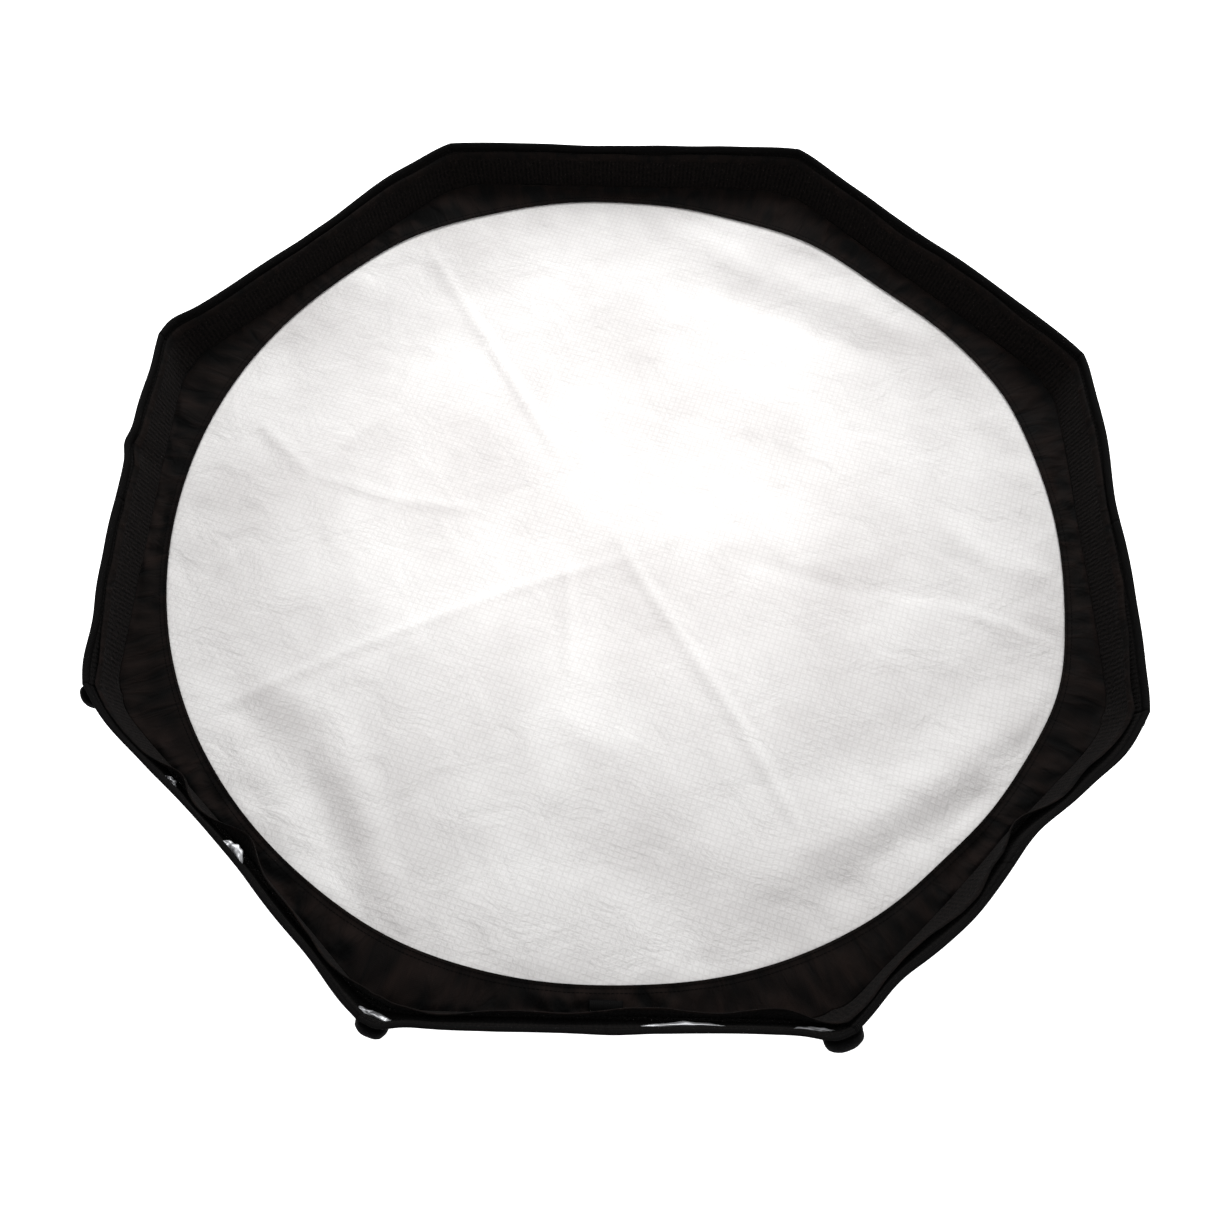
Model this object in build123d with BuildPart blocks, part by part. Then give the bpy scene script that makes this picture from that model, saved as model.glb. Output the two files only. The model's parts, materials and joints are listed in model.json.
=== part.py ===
from build123d import *
import os
from math import atan2, cos, degrees, hypot, radians, sin, tan

# Folding octabox with a recessed front diffuser. Millimetres, +Z along the optical axis towards the
# open front, origin at the centre of the lamp insert's rear face, one flat side of the octagon
# towards -Y. Eight ribs hinge on a speedring; every gore of the shell is two half panels that crease
# along its middle when the ribs fold up.

os.makedirs("parts", exist_ok=True)

# ---- driving dimensions: overall ----
rib_count = 8
rim_radius = 475.0          # corner radius of the front rim
rim_height = 332.0          # front rim above the insert's rear face
diffuser_recess = 43.0      # rim down to the diffuser's face
skirt_lean = 9.0            # how much the skirt's corner radius grows from shell edge to rim

# ---- cloth ----
cloth = 1.0                 # front cloth and tapes
panel_thickness = 2.0       # shell cloth with its lining
skirt_thickness = 1.6
cloth_gap = 0.3             # air left between cloth pieces that lie face to face
border_width = 20.8         # border at its narrowest, from the window's seam to the tape
window_seam = 9.0           # how far the window reaches under the border
tape_margin = 4.0           # rim and border to the tape's edges
tab_width = 26.0
tab_length = 10.2
tab_thickness = 1.5
tab_from_tape = 1.4         # tab's near end to the hook tape's inside
baffle_radius = 292.0
baffle_clearance = 12.0
strap_width = 15.0
strap_length = 44.0
strap_lap = 16.0            # strap sewn on the baffle's face
strap_air = 0.6             # strap to sleeve, and strap to baffle
strap_rise = 2.0            # strap lifts off the sleeve towards its end

# ---- ribs ----
hinge_stand_off = 8.0       # ring's outside to the hinge pins
hinge_rise = 4.2            # ring's top to the hinge pins
rod_radius = 2.5
rod_bow = 9.0               # how far a rod bows out from its chord
rod_tip_drop = 7.0          # rod tip below the shell's edge
shell_offset = 7.0          # rod chord to the shell panels, square to the chord
rod_play = 0.2
sleeve_wall = 1.2
sleeve_start = 48.0         # along the rod's chord from the hinge
pocket_length = 46.0
pocket_width = 17.0
pocket_wall = 1.8
pocket_tunnel = 6.0         # rod left inside the pocket's end wall
pocket_lap = 5.0            # tunnel run into the pocket
panel_start = 18.0          # along the chord from the hinge
fold_angle = 54.0           # travel of a rib from open to folded, degrees
fold_air = 2.0              # left between neighbouring half panels all through the fold

# ---- hinge at the speedring ----
pin_radius = 2.0
pin_play = 0.05             # radial running clearance of a hinge
knuckle_radius = 6.0
ear_thickness = 4.0
ear_gap = 0.3               # side clearance of a knuckle between its ears
ear_root = 12.0             # ear's foot below the ring's top
socket_wall = 2.4
socket_length = 36.0
socket_depth = 26.0
socket_chamfer = 0.8

# ---- speedring and lamp insert ----
bore_radius = 49.0
tube_wall = 3.0
tube_length = 24.0
lug_reach = 5.5
lug_thickness = 3.0
lug_start = 1.0
lug_angle = 30.0
lug_count = 3
flange_seat = 13.0          # width of the flange outside the ring's ledge
flange_thickness = 5.0
flange_start = 12.0
ring_play = 0.3             # clearance of the rotating insert
ring_wall = 6.0
ring_step = 4.7             # width of the step that carries the retainer
ring_bottom = 6.0
ledge_clearance = 2.5       # lugs to the ring's ledge
ring_lip = 4.0              # ring above the retainer
retainer_thickness = 2.5
screw_radius = 1.3
screw_head_radius = 2.5
screw_head_height = 1.6
screw_length = 8.0
screw_slot = 0.6
screw_slot_length = 2.8
index_count = 24
index_radius = 1.2
plunger_radius = 2.5
plunger_nose = 1.2          # flange's notch to the plunger's tip
plunger_tip_radius = 0.5
plunger_shoulder = 0.8      # ring's inside to the plunger's full diameter
plunger_proud = 1.5         # plunger outside the ring
knob_screw_radius = 2.0
knob_radius = 9.0
knob_length = 16.0
knob_stand_off = 22.0       # ring's outside to the knob's near face
knob_lobes = 6
lobe_depth = 0.3            # share of the knob's radius cut by each hollow between lobes
knob_chamfer = 1.2
boss_radius = 6.0
boss_length = 7.0

# ---- rear collar ----
collar_thickness = 1.2
collar_flare = 19.0
collar_height = 18.0
collar_boss_gap = 1.0       # round the knob's boss
collar_plunger_gap = 1.5    # round each plunger
cut_over = 1.0              # how far cutting solids run past what they cut

# ---- worked out from the driving dimensions ----
step_angle = 360.0 / rib_count
half_angle = step_angle / 2
corner = cos(radians(half_angle))
diffuser_height = rim_height - diffuser_recess
window_bottom = diffuser_height - 2 * cloth - cloth_gap / 2
shell_edge_height = window_bottom - 1.5
shell_edge_radius = rim_radius - skirt_lean
tube_outer = bore_radius + tube_wall
ledge_radius = tube_outer + lug_reach + ledge_clearance
flange_radius = ledge_radius + flange_seat
ring_inner = flange_radius + ring_play
step_inner = ring_inner + ring_step
ring_outer = step_inner + ring_wall
step_height = flange_start + flange_thickness + ring_play
ring_top = step_height + retainer_thickness + ring_lip
hinge_radius = ring_outer + hinge_stand_off
hinge_height = ring_top + hinge_rise
socket_radius = rod_radius + rod_play / 2 + socket_wall
knuckle_width = 2 * socket_radius
pocket_height = 2 * (rod_radius + rod_play + pocket_wall)
knob_height = flange_start + flange_thickness / 2
near_gap = pocket_width / 2 + 1.0
sleeve_radius = rod_radius + rod_play + sleeve_wall


def chord():
    """Rod tip and chord angle: the panels' line, offset from the chord, ends at the shell's edge."""
    tip_z = shell_edge_height - rod_tip_drop
    rise = tip_z - hinge_height
    run = shell_edge_radius - hinge_radius
    angle = atan2(rise, run)
    for _ in range(20):
        reach = shell_edge_radius - shell_offset * sin(angle)
        reach -= (shell_edge_height - tip_z + shell_offset * cos(angle)) / tan(angle)
        angle = atan2(rise, reach - hinge_radius)
    return hypot(reach - hinge_radius, rise), angle


chord_length, chord_angle = chord()
bow_radius = (chord_length**2 / 4 + rod_bow**2) / (2 * rod_bow)


def azimuth(rib):
    """Direction of rib 1 to rib_count, degrees from +X."""
    return half_angle + step_angle * (rib - 1)


def rib_plane(angle):
    """Upright plane through the axis: local x is the radius, local y is height."""
    turn = radians(angle)
    return Plane(origin=(0, 0, 0), x_dir=(cos(turn), sin(turn), 0), z_dir=(sin(turn), -cos(turn), 0))


def on_rib(along, off):
    """Radius and height of a point given along the chord from the hinge and square to it, inwards."""
    radius = hinge_radius + along * cos(chord_angle) - off * sin(chord_angle)
    height = hinge_height + along * sin(chord_angle) + off * cos(chord_angle)
    return radius, height


def rod_off(along):
    """Distance of the bowed rod's centre line from its chord, negative outwards."""
    half = chord_length / 2
    return bow_radius - rod_bow - (bow_radius**2 - (along - half) ** 2) ** 0.5


def rod_point(along):
    return on_rib(along, rod_off(along))


def skirt_radius(height):
    """Corner radius of the skirt's outside at a height."""
    share = (height - shell_edge_height) / (rim_height - shell_edge_height)
    return shell_edge_radius + skirt_lean * share


def save(part, name):
    part.label = name
    export_step(part, f"parts/{name}.step")


def octagon_band(low, high, outside, inside):
    """Closed octagonal band that follows the skirt, between two depths square to its faces."""
    with BuildPart() as band:
        for depth, mode in ((outside, Mode.ADD), (inside, Mode.SUBTRACT)):
            over = 0.0 if mode == Mode.ADD else cut_over
            for height in (low - over, high + over):
                with BuildSketch(Plane.XY.offset(height)):
                    radius = skirt_radius(height) - depth / corner
                    RegularPolygon(radius=radius, side_count=rib_count, rotation=half_angle)
            loft(mode=mode)
    return band.part


# ---- lamp insert: tube, bayonet lugs and the indexed flange that turns in the speedring ----
def mount_insert():
    with BuildPart() as insert:
        with BuildSketch():
            Circle(tube_outer)
            Circle(bore_radius, mode=Mode.SUBTRACT)
        extrude(amount=tube_length)
        with BuildSketch(Plane.XY.offset(flange_start)):
            Circle(flange_radius)
            Circle(bore_radius, mode=Mode.SUBTRACT)
            with PolarLocations(flange_radius, index_count):
                Circle(index_radius, mode=Mode.SUBTRACT)
        extrude(amount=flange_thickness)
        for lug in range(lug_count):
            middle = 90.0 + 360.0 / lug_count * lug
            with BuildSketch(Plane.XY.offset(lug_start)):
                with BuildLine():
                    reach = tube_outer + lug_reach
                    outer = CenterArc((0, 0), reach, middle - lug_angle / 2, lug_angle)
                    inner = CenterArc((0, 0), tube_outer - 0.5, middle - lug_angle / 2, lug_angle)
                    Line(outer @ 0, inner @ 0)
                    Line(outer @ 1, inner @ 1)
                make_face()
            extrude(amount=lug_thickness)
    return insert.part


# ---- speedring: cast ring with the insert's seat, eight clevises and the knob's boss ----
def ear_profile(plane):
    """Outline of one clevis ear in a rib plane, from inside the ring's wall to round the pin."""
    with BuildSketch(plane) as ear:
        with Locations((hinge_radius, hinge_height)):
            Circle(knuckle_radius)
        root = ring_outer - ring_wall / 2
        with BuildLine():
            Polyline(
                (root, ring_top - ear_root),
                (root, ring_top),
                (hinge_radius, hinge_height + knuckle_radius),
                (hinge_radius + knuckle_radius * 0.8, hinge_height - knuckle_radius * 0.6),
                close=True,
            )
        make_face()
    return ear.sketch


def speedring():
    reach = knuckle_width / 2 + ear_gap
    with BuildPart() as ring:
        with BuildSketch(Plane.XZ):
            with BuildLine():
                Polyline(
                    (ledge_radius, ring_bottom),
                    (ring_outer, ring_bottom),
                    (ring_outer, ring_top),
                    (step_inner, ring_top),
                    (step_inner, step_height),
                    (ring_inner, step_height),
                    (ring_inner, flange_start - ring_play),
                    (ledge_radius, flange_start - ring_play),
                    close=True,
                )
            make_face()
        revolve(axis=Axis.Z)
        for rib in range(1, rib_count + 1):
            plane = rib_plane(azimuth(rib))
            for side in (-1, 1):
                start = reach if side > 0 else -reach - ear_thickness
                add(extrude(ear_profile(plane.offset(start)), amount=ear_thickness, mode=Mode.PRIVATE))
        with BuildSketch(Plane.YZ.offset(ring_outer - 1.0)):
            with Locations((0, knob_height)):
                Circle(boss_radius)
        extrude(amount=boss_length + 1.0)
        with BuildSketch(Plane.YZ.offset(ring_inner - cut_over)):
            with Locations((0, knob_height)):
                Circle(knob_screw_radius + pin_play)
        extrude(amount=ring_outer + boss_length - ring_inner + 2 * cut_over, mode=Mode.SUBTRACT)
        with BuildSketch(Plane.XZ.offset(-ring_outer - cut_over)):
            with Locations((0, knob_height)):
                Circle(plunger_radius)
        extrude(amount=2 * (ring_outer + cut_over), mode=Mode.SUBTRACT)
        for rib in range(1, rib_count + 1):
            with BuildSketch(rib_plane(azimuth(rib)).offset(-reach - ear_thickness - cut_over)):
                with Locations((hinge_radius, hinge_height)):
                    Circle(pin_radius)
            extrude(amount=2 * (reach + ear_thickness + cut_over), mode=Mode.SUBTRACT)
        with BuildSketch(Plane.XY.offset(step_height)):
            with PolarLocations(ring_inner + ring_step / 2, rib_count, start_angle=half_angle / 2):
                Circle(screw_radius)
        extrude(amount=-(screw_length - retainer_thickness), mode=Mode.SUBTRACT)
    return ring.part


def hinge_pins():
    length = knuckle_width + 2 * (ear_gap + ear_thickness)
    with BuildPart() as pins:
        for rib in range(1, rib_count + 1):
            with BuildSketch(rib_plane(azimuth(rib)).offset(-length / 2)):
                with Locations((hinge_radius, hinge_height)):
                    Circle(pin_radius)
            extrude(amount=length)
    return pins.part


def retainer_ring():
    with BuildPart() as retainer:
        with BuildSketch(Plane.XY.offset(step_height)):
            Circle(step_inner - ring_play)
            Circle(ledge_radius, mode=Mode.SUBTRACT)
            with PolarLocations(ring_inner + ring_step / 2, rib_count, start_angle=half_angle / 2):
                Circle(screw_radius, mode=Mode.SUBTRACT)
        extrude(amount=retainer_thickness)
    return retainer.part


def retainer_screws():
    top = step_height + retainer_thickness
    with BuildPart() as screws:
        with BuildSketch(Plane.XY.offset(top)):
            with PolarLocations(ring_inner + ring_step / 2, rib_count, start_angle=half_angle / 2):
                Circle(screw_radius)
        extrude(amount=-screw_length)
        with BuildSketch(Plane.XY.offset(top)):
            with PolarLocations(ring_inner + ring_step / 2, rib_count, start_angle=half_angle / 2):
                Circle(min(screw_head_radius, ring_step / 2))
                Rectangle(screw_slot, screw_slot_length, mode=Mode.SUBTRACT)
        extrude(amount=screw_head_height)
    return screws.part


def index_plungers():
    """Two spring plungers, on the Y axis, whose rounded noses stand in the flange's notches."""
    nose = flange_radius - index_radius + ring_play
    with BuildPart() as plungers:
        for side in (-1, 1):
            with BuildSketch(Plane.XY.offset(knob_height)):
                with BuildLine():
                    Polyline(
                        (0, side * (nose + plunger_nose)),
                        (0, side * (ring_outer + plunger_proud)),
                        (plunger_radius, side * (ring_outer + plunger_proud)),
                        (plunger_radius, side * (ring_inner + plunger_shoulder)),
                        (plunger_tip_radius, side * (nose + plunger_nose)),
                        close=True,
                    )
                make_face()
            revolve(axis=Axis((0, 0, knob_height), (0, 1, 0)))
    return plungers.part


def lock_knob():
    start = ring_outer + knob_stand_off
    with BuildPart() as knob:
        with BuildSketch(Plane.YZ.offset(ring_inner + rod_play)):
            with Locations((0, knob_height)):
                Circle(knob_screw_radius)
        extrude(amount=start - ring_inner)
        with BuildSketch(Plane.YZ.offset(start)):
            with Locations((0, knob_height)):
                Circle(knob_radius)
                with PolarLocations(knob_radius * 1.12, knob_lobes):
                    Circle(knob_radius * lobe_depth, mode=Mode.SUBTRACT)
        extrude(amount=knob_length)
        end = knob.faces().sort_by(Axis.X)[-1]
        chamfer(end.outer_wire().edges(), length=knob_chamfer)
    return knob.part


def rear_collar():
    """Cone of cloth from the speedring's foot out towards the shell, with a hole for the knob."""
    foot = ring_outer + cloth_gap
    with BuildPart() as collar:
        with BuildSketch(Plane.XZ):
            with BuildLine():
                Polyline(
                    (foot, ring_bottom),
                    (foot + collar_thickness, ring_bottom),
                    (foot + collar_thickness + collar_flare, ring_bottom + collar_height),
                    (foot + collar_flare, ring_bottom + collar_height),
                    close=True,
                )
            make_face()
        revolve(axis=Axis.Z)
        with BuildSketch(Plane.YZ.offset(ring_outer - cut_over)):
            with Locations((0, knob_height)):
                Circle(boss_radius + collar_boss_gap)
        extrude(amount=collar_flare + 2 * (collar_thickness + cut_over), mode=Mode.SUBTRACT)
        reach = ring_outer + collar_flare + 2 * (collar_thickness + cut_over)
        with BuildSketch(Plane.XZ.offset(-reach)):
            with Locations((0, knob_height)):
                Circle(plunger_radius + collar_plunger_gap)
        extrude(amount=2 * reach, mode=Mode.SUBTRACT)
    return collar.part


# ---- one rib: hinged socket, bowed rod, sleeve with its closed pocket ----
def rod_path(plane, start, end):
    with BuildLine(plane) as path:
        middle = (start + end) / 2
        ThreePointArc(rod_point(start), rod_point(middle), rod_point(end))
    return path.line


def root_direction():
    """Angle of the rod at its hinge end, in the rib plane, degrees."""
    near, far = rod_point(0.0), rod_point(socket_length)
    return degrees(atan2(far[1] - near[1], far[0] - near[0]))


def rib_root(plane):
    direction = radians(root_direction())
    barrel = Plane(
        origin=plane.from_local_coords(Vector(hinge_radius, hinge_height, 0)),
        z_dir=plane.x_dir * cos(direction) + Vector(0, 0, 1) * sin(direction),
    )
    with BuildPart() as root:
        with BuildSketch(plane.offset(-knuckle_width / 2)):
            with Locations((hinge_radius, hinge_height)):
                Circle(knuckle_radius)
        extrude(amount=knuckle_width)
        with BuildSketch(barrel):
            Circle(socket_radius)
        extrude(amount=socket_length)
        mouth = root.faces().sort_by(Axis(barrel.origin, barrel.z_dir))[-1]
        chamfer(mouth.edges(), length=socket_chamfer)
        with BuildSketch(plane.offset(-knuckle_width / 2 - cut_over)):
            with Locations((hinge_radius, hinge_height)):
                Circle(pin_radius + pin_play)
        extrude(amount=knuckle_width + 2 * cut_over, mode=Mode.SUBTRACT)
        path = rod_path(plane, socket_length - socket_depth, socket_length + 8.0)
        with BuildSketch(Plane(origin=path @ 0, z_dir=path % 0)):
            Circle(rod_radius + rod_play / 2)
        sweep(path=path, mode=Mode.SUBTRACT)
    return root.part


def rib_rod(plane):
    path = rod_path(plane, socket_length - socket_depth + 0.5, chord_length)
    with BuildPart() as rod:
        with BuildSketch(Plane(origin=path @ 0, z_dir=path % 0)):
            Circle(rod_radius)
        sweep(path=path)
    return rod.part


def rib_sleeve(plane):
    """Cloth tunnel round the rod; a flat pocket closes over the rod's tip."""
    hole = rod_radius + rod_play
    pocket_start = chord_length - pocket_length + pocket_tunnel
    near, far = rod_point(pocket_start), rod_point(chord_length)
    direction = atan2(far[1] - near[1], far[0] - near[0])
    pocket_plane = Plane(
        origin=plane.from_local_coords(Vector(near[0], near[1], 0)),
        x_dir=plane.z_dir,
        z_dir=plane.x_dir * cos(direction) + Vector(0, 0, 1) * sin(direction),
    )
    tunnel = rod_path(plane, sleeve_start, pocket_start + pocket_lap)
    inside = rod_path(plane, sleeve_start, chord_length + cut_over)
    with BuildPart() as sleeve:
        with BuildSketch(pocket_plane):
            RectangleRounded(pocket_width, pocket_height, pocket_height * 0.42)
        extrude(amount=pocket_length)
        tip = sleeve.faces().sort_by(Axis(pocket_plane.origin, pocket_plane.z_dir))[-1]
        fillet(tip.edges(), radius=pocket_height * 0.3)
        with BuildSketch(Plane(origin=tunnel @ 0, z_dir=tunnel % 0)):
            Circle(sleeve_radius)
        sweep(path=tunnel)
        with BuildSketch(Plane(origin=inside @ 0, z_dir=inside % 0)):
            Circle(hole)
        sweep(path=inside, mode=Mode.SUBTRACT)
    return sleeve.part


# ---- shell: half panels, hinged along the ribs' lines ----
def panel_line(along):
    """Radius and height of a point of the line that two neighbouring half panels swing about."""
    return on_rib(along, -shell_offset)


def fold_crossing(along, fold, swing, gap=0.0, face=0.0):
    """How far a half panel passes the gore's middle plane, ribs folded and panel swung.

    The point is given along the rib, by its gap from the gore's middle and by its height over the
    panel's middle surface.
    """
    radius, height = panel_line(along)
    start_radius, start_height = panel_line(0.0)
    start = Vector(start_radius, 0, start_height)
    hinge = Vector(hinge_radius, 0, hinge_height)
    line = Axis((0, 0, 0), (cos(chord_angle), 0, sin(chord_angle)))
    turn = radians(half_angle)
    middle = Vector(cos(turn), sin(turn), 0)
    across = Vector(-sin(turn), cos(turn), 0)
    face_normal = across.cross(line.direction).normalized()
    point = middle * (radius * corner) + Vector(0, 0, height) - across * gap + face_normal * face
    swung = (point - start).rotate(line, -swing) + start
    moved = (swung - hinge).rotate(Axis.Y, -fold) + hinge
    return moved.Y * cos(turn) - moved.X * sin(turn)


def folded_swing():
    """Swing that closes the rim edges of two half panels in the middle plane when folded."""
    low, high = 0.0, 90.0
    for _ in range(40):
        swing = (low + high) / 2
        if fold_crossing(chord_length, fold_angle, swing) > 0:
            low = swing
        else:
            high = swing
    return swing


def widest_crossing(along, gap):
    """The most that either face of a panel's edge passes the middle plane anywhere in the fold."""
    shares = [k / 24 for k in range(25)]
    faces = (-panel_thickness / 2, panel_thickness / 2)
    return max(
        fold_crossing(along, fold_angle * share, swing_angle * share, gap, face)
        for share in shares
        for face in faces
    )


def clear_gap(along):
    """Gap from the gore's middle that leaves the fold's air between two neighbouring half panels."""
    low, high = 0.0, rim_radius / 4
    for _ in range(16):
        gap = (low + high) / 2
        if widest_crossing(along, gap) > -fold_air / 2:
            low = gap
        else:
            high = gap
    return high


swing_angle = folded_swing()
panel_end = (shell_edge_height - panel_line(0.0)[1]) / sin(chord_angle) - panel_thickness
far_gap = [clear_gap(along) for along in (panel_start, panel_end)]


def shell_panel(rib, side):
    """Half of a gore: side 1 is the counterclockwise half beside the rib, side -1 the other."""
    middle = radians(azimuth(rib) + side * half_angle)
    (start_radius, start_height), (end_radius, end_height) = panel_line(0.0), panel_line(panel_end)
    run = (end_radius - start_radius) * corner
    rise = end_height - start_height
    slope = hypot(run, rise)
    outward = Vector(cos(middle), sin(middle), 0)
    along = Vector(-sin(middle), cos(middle), 0)
    up = outward * (run / slope) + Vector(0, 0, rise / slope)
    gore = Plane(
        origin=outward * (start_radius * corner) + Vector(0, 0, start_height),
        x_dir=along * side,
        z_dir=(along * side).cross(up),
    )
    width = sin(radians(half_angle))
    lean = atan2((end_radius - start_radius) * width, slope)
    first = slope * panel_start / panel_end
    edges = []
    for height, gap in ((first, far_gap[0]), (slope, far_gap[1])):
        radius = start_radius + (end_radius - start_radius) * height / slope
        edges.append((-radius * width + near_gap / cos(lean), -gap, height))
    (near_low, far_low, low), (near_high, far_high, high) = edges
    with BuildPart() as panel:
        with BuildSketch(gore.offset(-panel_thickness / 2)):
            with BuildLine():
                Polyline((near_low, low), (far_low, low), (far_high, high), (near_high, high), close=True)
            make_face()
        extrude(amount=panel_thickness)
    return panel.part


# ---- front: skirt, loop tape, diffuser ----
border_radius = skirt_radius(diffuser_height - cloth) - (skirt_thickness + cloth + 2 * cloth_gap) / corner
window_radius = border_radius * corner - border_width


def diffuser_border():
    with BuildPart() as border:
        with BuildSketch(Plane.XY.offset(diffuser_height - cloth)):
            RegularPolygon(radius=border_radius, side_count=rib_count, rotation=half_angle)
            Circle(window_radius, mode=Mode.SUBTRACT)
        extrude(amount=cloth)
    return border.part


def diffuser_window():
    with BuildPart() as window:
        with BuildSketch(Plane.XY.offset(window_bottom)):
            Circle(window_radius + window_seam)
        extrude(amount=cloth)
    return window.part


def diffuser_pull_tab():
    """Webbing tab on the border's face at the side towards -Y."""
    tape_inside = skirt_radius(diffuser_height) * corner - skirt_thickness - 2 * (cloth + cloth_gap)
    with BuildPart() as tab:
        with BuildSketch(Plane.XY.offset(diffuser_height)):
            with Locations((0, -tape_inside + tab_from_tape + tab_length / 2)):
                RectangleRounded(tab_width, tab_length, tab_length * 0.3)
        extrude(amount=tab_thickness)
    return tab.part


# ---- inner baffle and its straps ----
baffle_along = (baffle_radius - hinge_radius) / cos(chord_angle)
baffle_height = rod_point(baffle_along)[1] + baffle_clearance


def baffle_cloth():
    with BuildPart() as baffle:
        with BuildSketch(Plane.XY.offset(baffle_height)):
            RegularPolygon(radius=baffle_radius, side_count=rib_count, rotation=half_angle)
        extrude(amount=cloth)
    return baffle.part


def baffle_straps():
    """Straps that lie along the ribs from the baffle's corners."""
    off = rod_off(baffle_along) + sleeve_radius + strap_air
    face = baffle_height + cloth
    with BuildPart() as straps:
        for rib in range(1, rib_count + 1):
            with BuildSketch(rib_plane(azimuth(rib)).offset(-strap_width / 2)):
                with BuildLine():
                    Polyline(
                        on_rib(baffle_along, off),
                        on_rib(baffle_along + strap_length, off + strap_rise),
                        on_rib(baffle_along + strap_length, off + strap_rise + cloth),
                        (baffle_radius + strap_rise, face + strap_air),
                        (baffle_radius - strap_lap, face + strap_air),
                        (baffle_radius - strap_lap, face),
                        (baffle_radius + strap_air, face),
                        close=True,
                    )
                make_face()
            extrude(amount=strap_width)
    return straps.part


save(mount_insert(), "mount_insert")
save(speedring(), "speedring")
save(hinge_pins(), "hinge_pins")
save(retainer_ring(), "retainer_ring")
save(retainer_screws(), "retainer_screws")
save(index_plungers(), "index_plungers")
save(lock_knob(), "lock_knob")
save(rear_collar(), "rear_collar")
for number in range(1, rib_count + 1):
    here = rib_plane(azimuth(number))
    save(rib_root(here), f"rib_{number}_root")
    save(rib_rod(here), f"rib_{number}_rod")
    save(rib_sleeve(here), f"rib_{number}_sleeve")
    save(shell_panel(number, 1), f"shell_panel_{number}_left")
    save(shell_panel(number, -1), f"shell_panel_{number}_right")
tape_low = diffuser_height
tape_high = rim_height - tape_margin
loop_outside = skirt_thickness + cloth_gap
hook_outside = loop_outside + cloth + cloth_gap
save(octagon_band(shell_edge_height, rim_height, 0.0, skirt_thickness), "front_skirt")
save(octagon_band(tape_low + tape_margin, tape_high, loop_outside, loop_outside + cloth), "loop_tape")
hook_high = tape_high - tape_margin
save(octagon_band(tape_low, hook_high, hook_outside, hook_outside + cloth), "diffuser_hook_tape")
save(diffuser_border(), "diffuser_border")
save(diffuser_window(), "diffuser_window")
save(diffuser_pull_tab(), "diffuser_pull_tab")
save(baffle_cloth(), "baffle_cloth")
save(baffle_straps(), "baffle_straps")

print("chord", round(chord_length, 3), "mm at", round(degrees(chord_angle), 3), "degrees")
print("panel line starts at", [round(v, 3) for v in panel_line(0.0)], "mm")
print("panels end at", round(panel_end, 2), "mm")
print("fold", fold_angle, "degrees, panel swing", round(swing_angle, 4), "ratio", swing_angle / fold_angle)
print("far gaps", [round(v, 2) for v in far_gap], "baffle height", round(baffle_height, 2))
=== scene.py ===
"""Looks of a folding octabox with a recessed front diffuser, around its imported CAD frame."""

import json
from math import atan2, cos, exp, hypot, pi, radians, sin

import bmesh
import bpy
from mathutils import Matrix, Vector, noise


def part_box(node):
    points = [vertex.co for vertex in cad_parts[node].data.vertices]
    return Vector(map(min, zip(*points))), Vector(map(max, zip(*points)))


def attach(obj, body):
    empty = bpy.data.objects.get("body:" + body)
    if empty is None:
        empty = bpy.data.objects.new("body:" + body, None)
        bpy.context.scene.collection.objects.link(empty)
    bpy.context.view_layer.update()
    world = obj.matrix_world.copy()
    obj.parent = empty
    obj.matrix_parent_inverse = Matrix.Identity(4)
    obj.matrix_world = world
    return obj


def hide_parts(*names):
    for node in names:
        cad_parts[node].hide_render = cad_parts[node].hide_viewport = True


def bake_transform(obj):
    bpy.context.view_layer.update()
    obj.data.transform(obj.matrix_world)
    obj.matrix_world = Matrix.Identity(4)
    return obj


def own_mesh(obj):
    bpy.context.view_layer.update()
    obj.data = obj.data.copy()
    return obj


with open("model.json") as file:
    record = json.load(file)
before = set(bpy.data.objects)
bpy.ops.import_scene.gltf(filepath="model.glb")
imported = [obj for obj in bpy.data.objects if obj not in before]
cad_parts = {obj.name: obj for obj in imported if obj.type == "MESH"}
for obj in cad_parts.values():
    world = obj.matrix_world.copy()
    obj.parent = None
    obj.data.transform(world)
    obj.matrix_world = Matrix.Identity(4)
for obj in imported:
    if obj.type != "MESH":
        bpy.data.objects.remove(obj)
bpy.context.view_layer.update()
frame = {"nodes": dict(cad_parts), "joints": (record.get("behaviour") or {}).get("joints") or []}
joints = {joint["name"]: joint for joint in frame["joints"]}

MM = 0.001
RIBS = 8
STEP = 2 * pi / RIBS
CORNER = cos(STEP / 2)
SIDES = ("left", "right")

# ---- places, from the frame ----
RIM_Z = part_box("front_skirt")[1].z
EDGE_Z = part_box("front_skirt")[0].z
RIM_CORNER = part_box("front_skirt")[1].x / CORNER
BORDER_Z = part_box("diffuser_border")[1].z
BORDER_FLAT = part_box("diffuser_border")[1].x
TAPE_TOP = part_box("diffuser_hook_tape")[1].z
WINDOW_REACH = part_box("diffuser_window")[1].x
SEAM_RADIUS = WINDOW_REACH - 9 * MM
SEAM_LAP = 3 * MM        # window cloth under the border
BAFFLE_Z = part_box("baffle_cloth")[1].z
BAFFLE_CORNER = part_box("baffle_cloth")[1].x / CORNER
SKIRT_LEAN = 9 * MM      # growth of the corner radius from the shell's edge to the rim
TAPE_DEPTH = 3.2 * MM    # skirt's outside to the hook tape
RING_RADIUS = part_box("retainer_ring")[1].x + 6.3 * MM


# ---------------------------------------------------------------- materials
PAINTED_FOLD_LIGHT = "painted_fold_light"      # vertex attribute: painted light and shade of the folds, from their slope towards the key light
ROW_PITCH = 4.2 * MM         # rows of the tape's pile, drawn twice as wide apart as they are


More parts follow.
